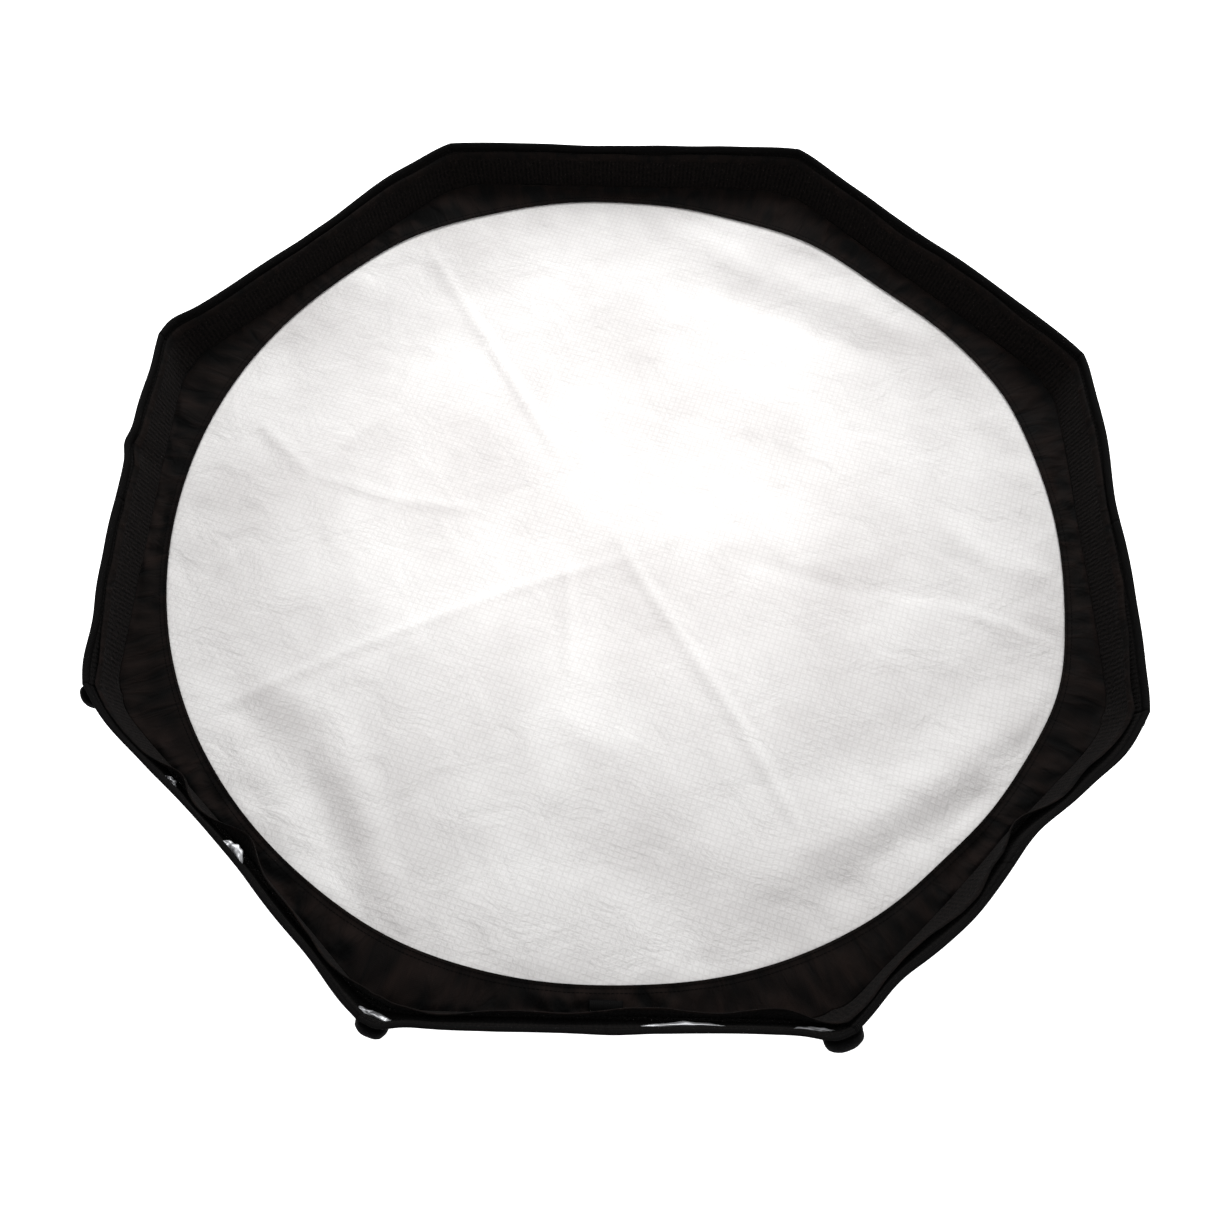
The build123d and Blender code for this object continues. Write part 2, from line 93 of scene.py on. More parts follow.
def linear(code):
    """An sRGB hex colour as linear RGBA."""
    parts = [int(code[k:k + 2], 16) / 255 for k in (1, 3, 5)]
    return [c / 12.92 if c <= 0.04045 else ((c + 0.055) / 1.055) ** 2.4 for c in parts] + [1.0]


def add(tree, kind, inputs=None, **settings):
    """Adds a node, sets its properties, and links or sets its inputs. A node given as an input is
    linked from its first output."""
    node = tree.nodes.new("ShaderNode" + kind)
    for name, value in settings.items():
        setattr(node, name, value)
    for name, value in (inputs or {}).items():
        if isinstance(value, bpy.types.Node):
            value = value.outputs[0]
        if isinstance(value, bpy.types.NodeSocket):
            tree.links.new(value, node.inputs[name])
        else:
            node.inputs[name].default_value = value
    return node


def start(name, pattern="UV"):
    """A material's tree and the coordinates that its pattern follows, in metres."""
    material = bpy.data.materials.new(name)
    material.use_nodes = True
    tree = material.node_tree
    tree.nodes.clear()
    return material, tree, add(tree, "TexCoord").outputs[pattern]


def shade(tree, height, depth, strength, under=None, **inputs):
    """The surface with its fine relief, which may lie on a broader one, and the output."""
    relief = add(tree, "Bump", {"Height": height, "Distance": depth, "Strength": strength})
    if under:
        tree.links.new(under.outputs["Normal"], relief.inputs["Normal"])
    named = {key.replace("_", " "): value for key, value in inputs.items()}
    surface = add(tree, "BsdfPrincipled", {"Normal": relief, **named})
    add(tree, "OutputMaterial", {"Surface": surface})


def total(tree, *parts):
    """The sum of values, each given with its weight."""
    so_far = None
    for value, weight in parts:
        if weight != 1:
            value = add(tree, "Math", {0: value, 1: weight}, operation="MULTIPLY")
        so_far = value if so_far is None else add(tree, "Math", {0: so_far, 1: value})
    return so_far


def ridges(tree, along, spacing):
    """Rows of round ridges, spacing metres apart: 0 between them and 1 on their crowns."""
    turned = add(tree, "Math", {0: along, 1: pi / spacing}, operation="MULTIPLY")
    wave = add(tree, "Math", {0: turned}, operation="SINE")
    return add(tree, "Math", {0: wave, 1: wave}, operation="MULTIPLY")


def threads(tree, where, pitch, angle=0.0):
    """Height of a plain weave: two crossing sets of round threads, each pitch metres apart."""
    turned = add(tree, "Mapping", {
        "Vector": where, "Rotation": (0, 0, angle), "Scale": (1 / pitch,) * 3,
    })
    axes = add(tree, "SeparateXYZ", {"Vector": turned})
    warp, weft = [ridges(tree, axes.outputs[axis], 1.0) for axis in "XY"]
    return total(tree, (warp, 0.5), (weft, 0.5))


def ramp(tree, value, low, high, dark, light):
    """A colour that goes from dark to light as value goes from low to high."""
    share = add(tree, "MapRange", {"Value": value, "From Min": low, "From Max": high})
    node = add(tree, "ValToRGB", {"Fac": share})
    node.color_ramp.elements[0].color = linear(dark)
    node.color_ramp.elements[1].color = linear(light)
    return node.outputs["Color"]


def ripstop(name, light, dark, square, through):
    """White polyester ripstop: thin cloth with a raised grid of doubled threads, which lets light
    through. It gives the eye a soft even glow with a faint net of squares."""
    material, tree, where = start(name)
    turned = add(tree, "Mapping", {
        "Vector": where, "Rotation": (0, 0, radians(17)), "Scale": (1 / square,) * 3,
    })
    axes = add(tree, "SeparateXYZ", {"Vector": turned})
    lines = []
    for axis in "XY":
        along = add(tree, "Math", {0: axes.outputs[axis]}, operation="FRACT")
        centred = add(tree, "Math", {0: along, 1: -0.5})
        away = add(tree, "Math", {0: centred}, operation="ABSOLUTE")
        lines.append(add(tree, "MapRange", {"Value": away, "From Min": 0.30, "From Max": 0.46}))
    grid = add(tree, "Math", {0: lines[0], 1: lines[1]}, operation="MAXIMUM")
    cloudy = add(tree, "TexNoise", {"Vector": where, "Scale": 7.0, "Detail": 5.0}).outputs["Fac"]
    fine = add(tree, "TexNoise", {"Vector": where, "Scale": 900.0, "Detail": 1.0}).outputs["Fac"]
    # painted light and shade: the fold attribute darkens folds that face away from the key light
    folds = add(tree, "Attribute", attribute_name=PAINTED_FOLD_LIGHT).outputs["Fac"]
    tone = total(tree, (grid, 0.15), (cloudy, 1), (folds, 1))
    colour = ramp(tree, tone, 0.30, 1.05, light, dark)
    crumple = add(tree, "TexNoise", {
        "Vector": where, "Scale": 28.0, "Detail": 6.0, "Roughness": 0.6, "Distortion": 0.6,
    }).outputs["Fac"]
    crinkled = add(tree, "Bump", {"Height": crumple, "Distance": 9 * MM, "Strength": 0.45})
    normal = add(tree, "Bump", {
        "Height": total(tree, (grid, 1), (fine, 0.4)), "Distance": 0.2 * MM, "Strength": 0.5,
        "Normal": crinkled,
    })
    front = add(tree, "BsdfPrincipled", {
        "Base Color": colour, "Roughness": 0.72, "Normal": normal,
        "Specular IOR Level": 0.25, "Sheen Weight": 0.1,
    })
    behind = add(tree, "BsdfTranslucent", {"Color": colour})
    cloth = add(tree, "MixShader", {0: through, 1: front, 2: behind})
    add(tree, "OutputMaterial", {"Surface": cloth})
    return material


def black_nylon(name, dark, light, pitch, rough=0.75, drawn=0.0):
    """Black coated cloth, woven: a dull face whose threads are painted a little lighter than the
    gaps between them, a painted highlight. The threads are drawn coarser than the real 0.4 mm,
    so that they show. drawn is the depth of the fine wrinkles that a gathering seam pulls across
    the cloth's width; their crowns are painted lighter and brownish, a painted highlight, and
    their hollows darker, painted shade."""
    material, tree, where = start(name)
    weave = threads(tree, where, pitch)
    worn = add(tree, "TexNoise", {"Vector": where, "Scale": 18.0, "Detail": 4.0}).outputs["Fac"]
    stretched = add(tree, "Mapping", {"Vector": where, "Scale": (75, 22, 1)})
    wrinkles = add(tree, "TexNoise", {
        "Vector": stretched, "Scale": 1.0, "Detail": 4.0, "Distortion": 0.8,
    }).outputs["Fac"]
    folds = add(tree, "Attribute", attribute_name=PAINTED_FOLD_LIGHT).outputs["Fac"]
    # tone: threads and wrinkle crowns painted lighter as painted highlight, the fold attribute's
    # painted light and shade, and a random worn mottle
    tone = total(tree, (weave, 0.25), (worn, 1), (wrinkles, 3 * drawn), (folds, 1))
    gathers = add(tree, "Bump", {"Height": wrinkles, "Distance": 8 * MM * drawn, "Strength": 1.0})
    shade(tree, weave, 0.12 * MM, 0.7, under=gathers, Roughness=rough, Specular_IOR_Level=0.035,
          Base_Color=ramp(tree, tone, 0.45 + 1.2 * drawn, 0.95 + 1.8 * drawn, dark, light),
          Sheen_Weight=0.012, Sheen_Roughness=0.4)
    return material


def silver_lining():
    """Silver-coated polyester lining: aluminium pigment on a fine weave, crinkled by folding, which
    gives a bright satin face with small broken reflections."""
    material, tree, where = start("silver_coated_lining")
    crinkle = add(tree, "TexVoronoi", {"Vector": where, "Scale": 150.0}, feature="SMOOTH_F1")
    weave = threads(tree, where, 1.0 * MM)
    height = total(tree, (crinkle.outputs["Distance"], 1), (weave, 0.05))
    tone = add(tree, "TexNoise", {"Vector": where, "Scale": 60.0, "Detail": 3.0}).outputs["Fac"]
    shade(tree, height, 1.0 * MM, 0.5, Metallic=0.75, Roughness=0.45,
          Base_Color=ramp(tree, tone, 0.3, 0.7, "#8f9093", "#bbbcbe"))
    return material


def touch_tape(name, dark, light, grain, depth):
    """Touch tape: rows of nylon loops or hooks across a woven ground, dull black and fuzzy."""
    material, tree, where = start(name)
    pile = add(tree, "TexVoronoi", {"Vector": where, "Scale": 1 / grain}).outputs["Distance"]
    curls = add(tree, "TexNoise", {"Vector": where, "Scale": 0.6 / grain, "Detail": 4.0})
    axes = add(tree, "SeparateXYZ", {"Vector": where})
    row = ridges(tree, axes.outputs["X"], ROW_PITCH)
    height = total(tree, (pile, 1), (curls.outputs["Fac"], 1), (row, 0.5))
    # colour follows the pile's height: tops painted lighter, hollows painted darker, as painted
    # light and shade
    shade(tree, height, depth, 0.9, Base_Color=ramp(tree, height, 0.6, 1.6, dark, light),
          Roughness=0.95, Specular_IOR_Level=0.03, Sheen_Weight=0.015, Sheen_Roughness=0.6)
    return material


def webbing(name, dark, light, rib):
    """Woven polyester tape: close ribs across its width, slightly glossy; their crowns are painted
    lighter, a painted highlight, and the hollows between them darker, painted shade.
    """
    material, tree, where = start(name)
    axes = add(tree, "SeparateXYZ", {"Vector": where})
    weave = threads(tree, where, rib * 0.6, radians(45))
    height = total(tree, (ridges(tree, axes.outputs["X"], rib), 1), (weave, 0.4))
    shade(tree, height, 0.25 * MM, 0.8, Base_Color=ramp(tree, height, 0.1, 1.2, dark, light),
          Roughness=0.7, Specular_IOR_Level=0.05)
    return material


def sewing_thread(name, code):
    """Bonded polyester thread: two twisted plies with next to no gloss."""
    material, tree, where = start(name, "Object")
    wave = add(tree, "TexWave", {"Vector": where, "Scale": 900.0, "Distortion": 1.5})
    twist = wave.outputs["Fac"]
    lit = add(tree, "Mix", {
        "A": linear(code), "B": linear("#000000"), "Factor": twist,
    }, data_type="RGBA", clamp_factor=True)
    shade(tree, twist, 0.08 * MM, 0.5, Base_Color=lit.outputs["Result"], Roughness=0.7,
          Specular_IOR_Level=0.05)
    return material


def turned_metal(name, code, rough, metallic=1.0, grain=0.4 * MM):
    """Machined metal: rings of fine tool marks round the axis, so the light draws out in streaks."""
    material, tree, where = start(name, "Object")
    axes = add(tree, "SeparateXYZ", {"Vector": where})
    flat = add(tree, "CombineXYZ", {"X": axes.outputs["X"], "Y": axes.outputs["Y"]})
    radius = add(tree, "VectorMath", {0: flat}, operation="LENGTH").outputs["Value"]
    marks = add(tree, "TexNoise", {
        "W": add(tree, "Math", {0: radius, 1: 1 / grain}, operation="MULTIPLY"),
        "Scale": 1.0, "Detail": 3.0,
    }, noise_dimensions="1D").outputs["Fac"]
    tone = add(tree, "TexNoise", {"Vector": where, "Scale": 40.0, "Detail": 4.0}).outputs["Fac"]
    roughness = add(tree, "MapRange", {
        "Value": tone, "To Min": rough - 0.06, "To Max": rough + 0.08,
    }).outputs[0]
    shade(tree, marks, 0.06 * MM, 0.5, Base_Color=linear(code), Metallic=metallic,
          Roughness=roughness)
    return material


def hard_finish(name, relief, tone, **surface):
    """A metal's fine relief, given as scale, detail, depth and strength, under one colour or a
    mottle, given as scale, detail, low, high, dark and light."""
    material, tree, where = start(name, "Object")
    scale, detail, depth, strength = relief
    grain = add(tree, "TexNoise", {"Vector": where, "Scale": scale, "Detail": detail})
    if isinstance(tone, str):
        colour = linear(tone)
    else:
        spots = add(tree, "TexNoise", {"Vector": where, "Scale": tone[0], "Detail": tone[1]})
        colour = ramp(tree, spots.outputs["Fac"], *tone[2:])
    shade(tree, grain.outputs["Fac"], depth, strength, Base_Color=colour, **surface)
    return material


def polished_steel(name, code, rough):
    """Drawn and polished steel with faint scratches."""
    return hard_finish(name, (1500.0, 2.0, 0.03 * MM, 0.5), code, Metallic=1.0, Roughness=rough)


def moulded_plastic():
    """Glass-filled nylon, moulded with a spark-eroded grain: matt black with soft highlights."""
    material, tree, where = start("moulded_black_nylon", "Object")
    grain = add(tree, "TexVoronoi", {"Vector": where, "Scale": 1600.0}).outputs["Distance"]
    shade(tree, grain, 0.08 * MM, 0.6, Base_Color=linear("#161617"), Roughness=0.5,
          Specular_IOR_Level=0.45)
    return material


window_cloth = ripstop("white_diffusion_ripstop", "#ecebea", "#cbc8c7", 4.8 * MM, 0.35)
baffle_cloth = ripstop("white_baffle_nylon", "#e6e6e6", "#d6d6d8", 4.8 * MM, 0.45)
# light colour: the brownish painted highlight on wrinkle crowns and on folds facing the key light,
# and the worn mottle
border_cloth = black_nylon("black_border_polyester", "#080808", "#17110f", 1.1 * MM, drawn=0.5)
shell_cloth = black_nylon("black_coated_shell_nylon", "#020202", "#080808", 1.2 * MM, 0.6, 0.12)
sleeve_cloth = black_nylon("black_reinforcing_oxford", "#020202", "#0a0a0b", 1.6 * MM)
lining = silver_lining()
loop_pile = touch_tape("black_loop_tape", "#010101", "#0c0a09", 1.3 * MM, 0.9 * MM)
hook_pile = touch_tape("black_hook_tape", "#010101", "#100d0c", 1.6 * MM, 0.7 * MM)
binding = webbing("black_woven_binding", "#020202", "#070606", 1.3 * MM)
tab_webbing = webbing("black_tab_webbing", "#020202", "#060606", 1.6 * MM)
elastic = webbing("white_knitted_elastic", "#b9b9ba", "#e2e2e2", 1.2 * MM)
black_thread = sewing_thread("black_polyester_thread", "#060606")
# Black powder coat on cast aluminium: a fine orange peel, rubbed a little lighter on its bumps.
powder_coat = hard_finish(
    "black_powder_coat", (900.0, 2.0, 0.1 * MM, 0.6), (60.0, 6.0, 0.35, 0.8, "#151517", "#2a2a2d"),
    Roughness=0.48, Specular_IOR_Level=0.45)
# Zinc die casting, painted black: satin, with the casting's faint mottle, rubbed grey in places.
socket_metal = hard_finish(
    "black_painted_zinc_casting", (350.0, 5.0, 0.08 * MM, 0.5),
    (350.0, 5.0, 0.35, 0.85, "#17171a", "#3a3a3d"), Metallic=0.3, Roughness=0.45)
# Drawn spring-steel wire: a satin grey with fine draw marks and a little brown oxide.
rod_finish = hard_finish(
    "drawn_spring_steel", (700.0, 4.0, 0.04 * MM, 0.5), (45.0, 5.0, 0.35, 0.7, "#8e8d8c", "#a9a8a8"),
    Metallic=1.0, Roughness=0.33)

CAD_FINISHES = {
    "mount_insert": turned_metal("clear_anodised_aluminium", "#c2c4c8", 0.32),
    "retainer_ring": turned_metal("black_anodised_aluminium", "#1d1d20", 0.38, 0.7),
    "speedring": powder_coat,
    "hinge_pins": polished_steel("ground_steel_pin", "#b4b6ba", 0.25),
    "retainer_screws": polished_steel("blackened_steel_screw", "#3a3a3e", 0.35),
    "index_plungers": polished_steel("nickel_plated_plunger", "#c9c6bf", 0.22),
    "lock_knob": moulded_plastic(),
}
for rib in range(1, RIBS + 1):
    CAD_FINISHES[f"rib_{rib}_root"] = socket_metal
    CAD_FINISHES[f"rib_{rib}_rod"] = rod_finish


def dress_cad_nodes():
    for name, finish in CAD_FINISHES.items():
        mesh = frame["nodes"][name].data
        mesh.materials.clear()
        mesh.materials.append(finish)


# ---------------------------------------------------------------- shaping helpers
def azimuth(rib):
    return STEP / 2 + STEP * (rib - 1)


def polar(radius, angle, height):
    return Vector((radius * cos(angle), radius * sin(angle), height))


def smooth(share):
    share = max(0.0, min(1.0, share))
    return share * share * (3 - 2 * share)


def bell(offset, width):
    return exp(-((offset / width) ** 2))


def around(angle, centre):
    """Signed difference between two azimuths, in degrees, both given in degrees."""
    return (angle - centre + 180) % 360 - 180


def ripple(x, y, z, size):
    """Smooth noise between about -1 and 1, with bumps of that size."""
    return noise.noise(Vector((x / size, y / size, z / size)))


def rim_ripple(angle, count, height, size=1.0):
    """The same noise round the axis: the higher the count, the closer its bumps."""
    return ripple(cos(angle) * count, sin(angle) * count, height, size)


def tangent(angle):
    """The level direction that runs counterclockwise round the axis."""
    return Vector((-sin(angle), cos(angle), 0))


def upwards(_):
    return Vector((0, 0, 1))


def unit_sheet(columns, rows):
    """A square sheet from 0 to 1 in x and y."""
    bm = bmesh.new()
    bmesh.ops.create_grid(bm, x_segments=columns, y_segments=rows, size=0.5)
    bmesh.ops.translate(bm, verts=bm.verts, vec=(0.5, 0.5, 0))
    return bm


def unit_tube(sides, rows):
    """An open tube of radius 1, from z 0 to 1."""
    bm = bmesh.new()
    bmesh.ops.create_circle(bm, segments=sides, radius=1.0)
    edges = bm.edges[:]
    for _ in range(rows):
        grown = bmesh.ops.extrude_edge_only(bm, edges=edges)["geom"]
        verts = {item for item in grown if isinstance(item, bmesh.types.BMVert)}
        edges = [item for item in grown if isinstance(item, bmesh.types.BMEdge) and
                 all(vert in verts for vert in item.verts)]
        bmesh.ops.translate(bm, verts=list(verts), vec=(0, 0, 1 / rows))
    return bm


def turn_share(x, y):
    """Share of a full turn, from 0 up to 1."""
    return (atan2(y, x) / (2 * pi)) % 1.0


def paint_section(bm, section):
    """Gives each strip of a tube the material that its section names."""
    sides = len(section)
    for face in bm.faces:
        centre = face.calc_center_median()
        index = int(turn_share(centre.x, centre.y) * sides) % sides
        face.material_index = section[index][2]


def disc(u, v):
    """The place in a disc of radius 1 of a point of the unit sheet."""
    a, b = 2 * u - 1, 2 * v - 1
    return a * (1 - b * b / 2) ** 0.5, b * (1 - a * a / 2) ** 0.5


def lay(bm, place, flat, wraps=False):
    """Moves each point from its unit place to its real one, and gives it a UV in metres.

    place(u, v) is the real point and flat(u, v) the place on the flat cloth. On a tube, u is the
    share of a turn and v the height; on a sheet, u and v are x and y.
    """
    where = {}
    for vert in bm.verts:
        u = turn_share(vert.co.x, vert.co.y) if wraps else vert.co.x
        u = 0.0 if wraps and u > 1 - 1e-5 else u
        where[vert] = (u, vert.co.z if wraps else vert.co.y)
    uv = bm.loops.layers.uv.new("cloth")
    for face in bm.faces:
        high = max(where[vert][0] for vert in face.verts)
        for loop in face.loops:
            u, v = where[loop.vert]
            if wraps and high - u > 0.5:
                u += 1.0
            loop[uv].uv = flat(u, v)
    for vert in bm.verts:
        vert.co = place(*where[vert])


def make(name, bm, *materials, solid=0.0, lined=False, outward=None):
    """The finished piece. With outward, a sheet's faces are turned that way; solid is its thickness,
    and lined gives its inner face the second material."""
    bmesh.ops.recalc_face_normals(bm, faces=bm.faces)
    if outward is not None:
        face = max(bm.faces, key=lambda one: one.calc_area())
        if face.normal.dot(outward(face.calc_center_median())) < 0:
            bmesh.ops.reverse_faces(bm, faces=bm.faces)
    mesh = bpy.data.meshes.new(name)
    bm.to_mesh(mesh)
    bm.free()
    mesh.polygons.foreach_set("use_smooth", [True] * len(mesh.polygons))
    for material in materials:
        mesh.materials.append(material)
    piece = bpy.data.objects.new(name, mesh)
    bpy.context.scene.collection.objects.link(piece)
    if solid:
        wall = piece.modifiers.new("thickness", "SOLIDIFY")
        wall.thickness = solid
        wall.offset = -1
        if lined:
            wall.material_offset = 1
    return piece


def close_ends(bm):
    open_edges = [edge for edge in bm.edges if edge.is_boundary]
    bmesh.ops.holes_fill(bm, edges=open_edges, sides=0)


# ---------------------------------------------------------------- outline of the front
SIDE_BULGE = 7.5 * MM    # a side bows out between its corners, pushed by the diffuser
CORNER_PULL = 4 * MM     # a corner stands out where the rod's tip pushes it
ROUNDNESS = 60           # of the octagon's corners: the higher, the sharper
# Places, in degrees round the rim from +X, where the skirt is dented (-) or bulges (+), with the
# amount in millimetres and the width in degrees.
RIM_WAVES = (
    (-135, -10, 16), (-119, -4, 5), (-157, -3, 3), (-77, -3, 7), (-62, -6.5, 4), (-52, 2.5, 4),
    (-40.5, -6, 4), (-28, 4, 3.5), (-8, 2, 7), (11, 2.5, 5), (38, 2.5, 6), (56, -1.5, 10),
    (67.5, 2, 3), (97, -2, 14), (122.5, 4, 5), (145, -2.5, 10), (155, 4, 1.8), (162, -3, 4),
    (172.5, 4, 1.6), (-164, -4, 4), (38, 3.5, 60), (-69.5, 4, 1.8),
    (-110.5, 4, 1.5),
)
# Where the diffuser's flange has come away from the skirt: degrees, millimetres inwards, width.
FLANGE_PEELS = (
    (-133.5, 15, 3.2), (-144, 9, 2.4), (-125, 6, 6), (-112, 15, 4.0), (-100, 8, 6), (-86, 12, 8),
    (-73, 12, 4.5), (-57, 5, 5), (-46, 4, 3), (-40, 10, 3.0), (-30, 5, 4), (-20, 4, 4), (-160, 3, 3),
)
# Where the shell's silver lining shows between flange and skirt: degrees, half width in degrees,
# width across in millimetres.
LINING_GLIMPSES = (
    (-144.2, 0.9, 4), (-133.4, 1.7, 7), (-111.6, 1.9, 5), (-82.5, 4.6, 3.5), (-70.4, 2.0, 3.5),
)
GLIMPSE_DEPTH = 17 * MM  # under the rim
GLIMPSE_CUT = 10.5 * MM  # width of the lining that makes one fold, before it tapers
# How far the window's seam runs outside (+) or inside (-) its circle, the same way.
SEAM_WAVES = (
    (-21, 6, 9), (48, -9.5, 11), (73, -5.5, 9), (122, 5, 9), (-88, -2.5, 10), (-48, -3, 7),
    (23, 3, 7), (-115, 2, 9), (88, -3, 8), (178, -1.5, 20),
)


def octagon(angle, corner_radius):
    """Distance from the axis to the side of an octagon with softened corners, at an azimuth."""
    local = (angle + STEP / 2) % STEP - STEP / 2
    near_side, next_side = cos(local), cos(STEP - abs(local))
    both = near_side * (1 + (next_side / near_side) ** ROUNDNESS) ** (1 / ROUNDNESS)
    return corner_radius * CORNER / both


def corner_nearness(angle):
    """1 at a corner of the octagon, 0 at the middle of a side."""
    local = (angle + STEP / 2) % STEP - STEP / 2
    return abs(local) / (STEP / 2)


def waves(angle, table):
    turn = angle * 180 / pi
    return sum(size * MM * bell(around(turn, centre), width) for centre, size, width in table)


def skirt_radius(angle, height):
    """Outside of the skirt: straight at the shell's edge, slack and wavy towards the rim."""
    share = (height - EDGE_Z) / (RIM_Z - EDGE_Z)
    radius = octagon(angle, RIM_CORNER - SKIRT_LEAN + SKIRT_LEAN * share)
    near = corner_nearness(angle)
    radius += SIDE_BULGE * share * (1 - 0.5 * near**6)
    radius += CORNER_PULL * smooth(share * 1.3) * near**14
    small = 1.0 * MM * rim_ripple(angle, 5, share * 0.7, 0.42)
    return radius + (waves(angle, RIM_WAVES) + small) * smooth(share)


def rim_height(angle):
    """The hem rises and falls a little between the corners."""
    near = corner_nearness(angle)
    uneven = 0.6 + 0.4 * rim_ripple(angle, 3, 0.0, 0.5)
    return RIM_Z - 1.2 * MM - 2.6 * MM * (1 - near**2) * uneven


# ---------------------------------------------------------------- skirt
# The skirt's section, as depth inwards from its outside and height as a share of its own height:
# outer face, rolled binding, raised loop tape, and a ledge at the foot that the diffuser lies on.
# The third value picks the material.
OUTER, BOUND, LOOPED = range(3)
SKIRT_COLUMNS = 56       # along one half of a side
SKIRT_SECTION = (
    (0.0, 0.00, OUTER), (0.0, 0.22, OUTER), (0.0, 0.44, OUTER), (0.0, 0.66, OUTER),
    (0.0, 0.84, OUTER), (-0.7, 0.86, BOUND), (-1.1, 0.93, BOUND), (-0.6, 0.99, BOUND),
    (0.9, 1.005, BOUND), (2.4, 0.99, BOUND), (2.9, 0.93, BOUND), (2.4, 0.86, BOUND),
    (1.6, 0.845, LOOPED), (2.5, 0.82, LOOPED), (2.6, 0.75, LOOPED), (2.6, 0.60, LOOPED),
    (2.6, 0.40, LOOPED), (2.6, 0.06, LOOPED), (6.0, 0.03, OUTER), (6.0, 0.0, OUTER),
)


def skirt_half(rib, side, name):
    """Half of one side of the skirt, from its corner to the side's middle."""
    sign = 1 if side == "left" else -1
    sides = len(SKIRT_SECTION)
    bm = unit_tube(sides, SKIRT_COLUMNS)
    paint_section(bm, SKIRT_SECTION)

    def place(u, v):
        depth, share, _ = SKIRT_SECTION[round(u * sides) % sides]
        angle = azimuth(rib) + sign * STEP / 2 * v
        height = EDGE_Z + share * (rim_height(angle) - EDGE_Z)
        inside = depth * MM / cos(STEP / 2 * (1 - v))
        return polar(skirt_radius(angle, height) - inside, angle, height)

    def flat(u, v):
        length = RIM_CORNER * sin(STEP / 2)
        return (v * length, u * 0.1)

    lay(bm, place, flat, wraps=True)
    close_ends(bm)
    return make(name, bm, shell_cloth, binding, loop_pile)


def panel_frame(rib, side):
    """The rib's line, its direction, and the outward normal of the half panel beside it."""
    joint = joints[f"panel_{rib}_{side}_swing"]
    origin, line = Vector(joint["pos_m"]), Vector(joint["axis"])
    if line.z < 0:
        line = -line
    sign = 1 if side == "left" else -1
    middle = azimuth(rib) + sign * STEP / 2
    across = tangent(middle) * sign
    normal = across.cross(line).normalized()
    if normal.dot(polar(1, middle, 0)) < 0:
        normal = -normal
    return origin, line, normal


def ride_panel(piece, rib, side):
    """The piece moves with a half panel."""
    origin, line, normal = panel_frame(rib, side)
    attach(piece, f"panel_{rib}_{side}")
    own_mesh(piece)
    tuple(normal)


def front_skirts():
    made = []
    for rib in range(1, RIBS + 1):
        for side in SIDES:
            piece = skirt_half(rib, side, f"skirt_{rib}_{side}")
            ride_panel(piece, rib, side)
            made.append(piece)
    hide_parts("front_skirt", "loop_tape")
    for piece in made[1:]:
        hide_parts("front_skirt")
    return made


# ---------------------------------------------------------------- shell
GORE_SAG = 9 * MM        # how far a gore's middle curves in between its ribs
RIB_BOW = 2.5 * MM       # how far the seam curves out along the bowed rod
GORE_START = 14 * MM     # seam's lower end, along the rib from the hinge


def gore_half(rib, side):
    sign = 1 if side == "left" else -1
    origin, line, normal = panel_frame(rib, side)
    reach = (EDGE_Z - origin.z) / line.z
    middle = azimuth(rib) + sign * STEP / 2
    across = tangent(middle) * sign

    def place(u, v):
        along = GORE_START + v * (reach - GORE_START)
        seam = origin + line * along
        radius = hypot(seam.x, seam.y)
        width = radius * sin(STEP / 2)
        slack = 1 - (1 - u) ** 2
        tight = sin(pi * min(1.0, v * 1.02)) ** 0.6 if 0 < v < 0.98 else 0.0
        lift = RIB_BOW * sin(pi * v) * (1 - u) - GORE_SAG * slack * tight
        drag = ripple(u * 3, v * 9, rib * 3.1 + sign, 1.0) * 1.6 * MM
        pull = ripple(u * 11, v * 2.5, rib * 7.7 + sign, 1.0) * 1.2 * MM * (1 - v) ** 2
        quiet = min(1.0, 6 * u) * min(1.0, 6 * (1 - u)) * min(1.0, 12 * v, 14 * (1 - v))
        return seam + across * (width * u) + normal * (lift + (drag + pull) * quiet)

    def flat(u, v):
        return (u * (reach * v + GORE_START) * 0.35, v * reach)

    bm = unit_sheet(26, 64)
    lay(bm, place, flat)
    piece = make(f"shell_gore_{rib}_{side}", bm, shell_cloth, lining, solid=0.8 * MM, lined=True,
                 outward=lambda centre: normal)
    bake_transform(piece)
    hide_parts(f"shell_panel_{rib}_{side}")
    return piece


ROD_BOW = 9 * MM         # how far a sprung rod's middle stands out from its chord


def rod_line(rib):
    """The rod's centre line as a function of the share of its length, that length, and the way it
    bows. The rod lies in the rib's upright plane, an arc between its two ends."""
    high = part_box(f"rib_{rib}_rod")[1]
    hinge = Vector(joints[f"rib_{rib}_fold"]["pos_m"])
    angle = azimuth(rib)
    _, line, _ = panel_frame(rib, "left")
    out = Vector((line.z * cos(angle), line.z * sin(angle), -hypot(line.x, line.y)))
    length = (high.z - 2 * MM - hinge.z) / line.z

    def point(share):
        return hinge + line * (length * share) + out * (ROD_BOW * 4 * share * (1 - share))

    return point, length, out


# A pocket's bulk, by rib, which follows the rod's tip in it.
POCKET_SIZES = {1: 0.95, 2: 0.7, 3: 0.65, 4: 0.8, 5: 0.7, 6: 1.1, 7: 1.7, 8: 1.0}


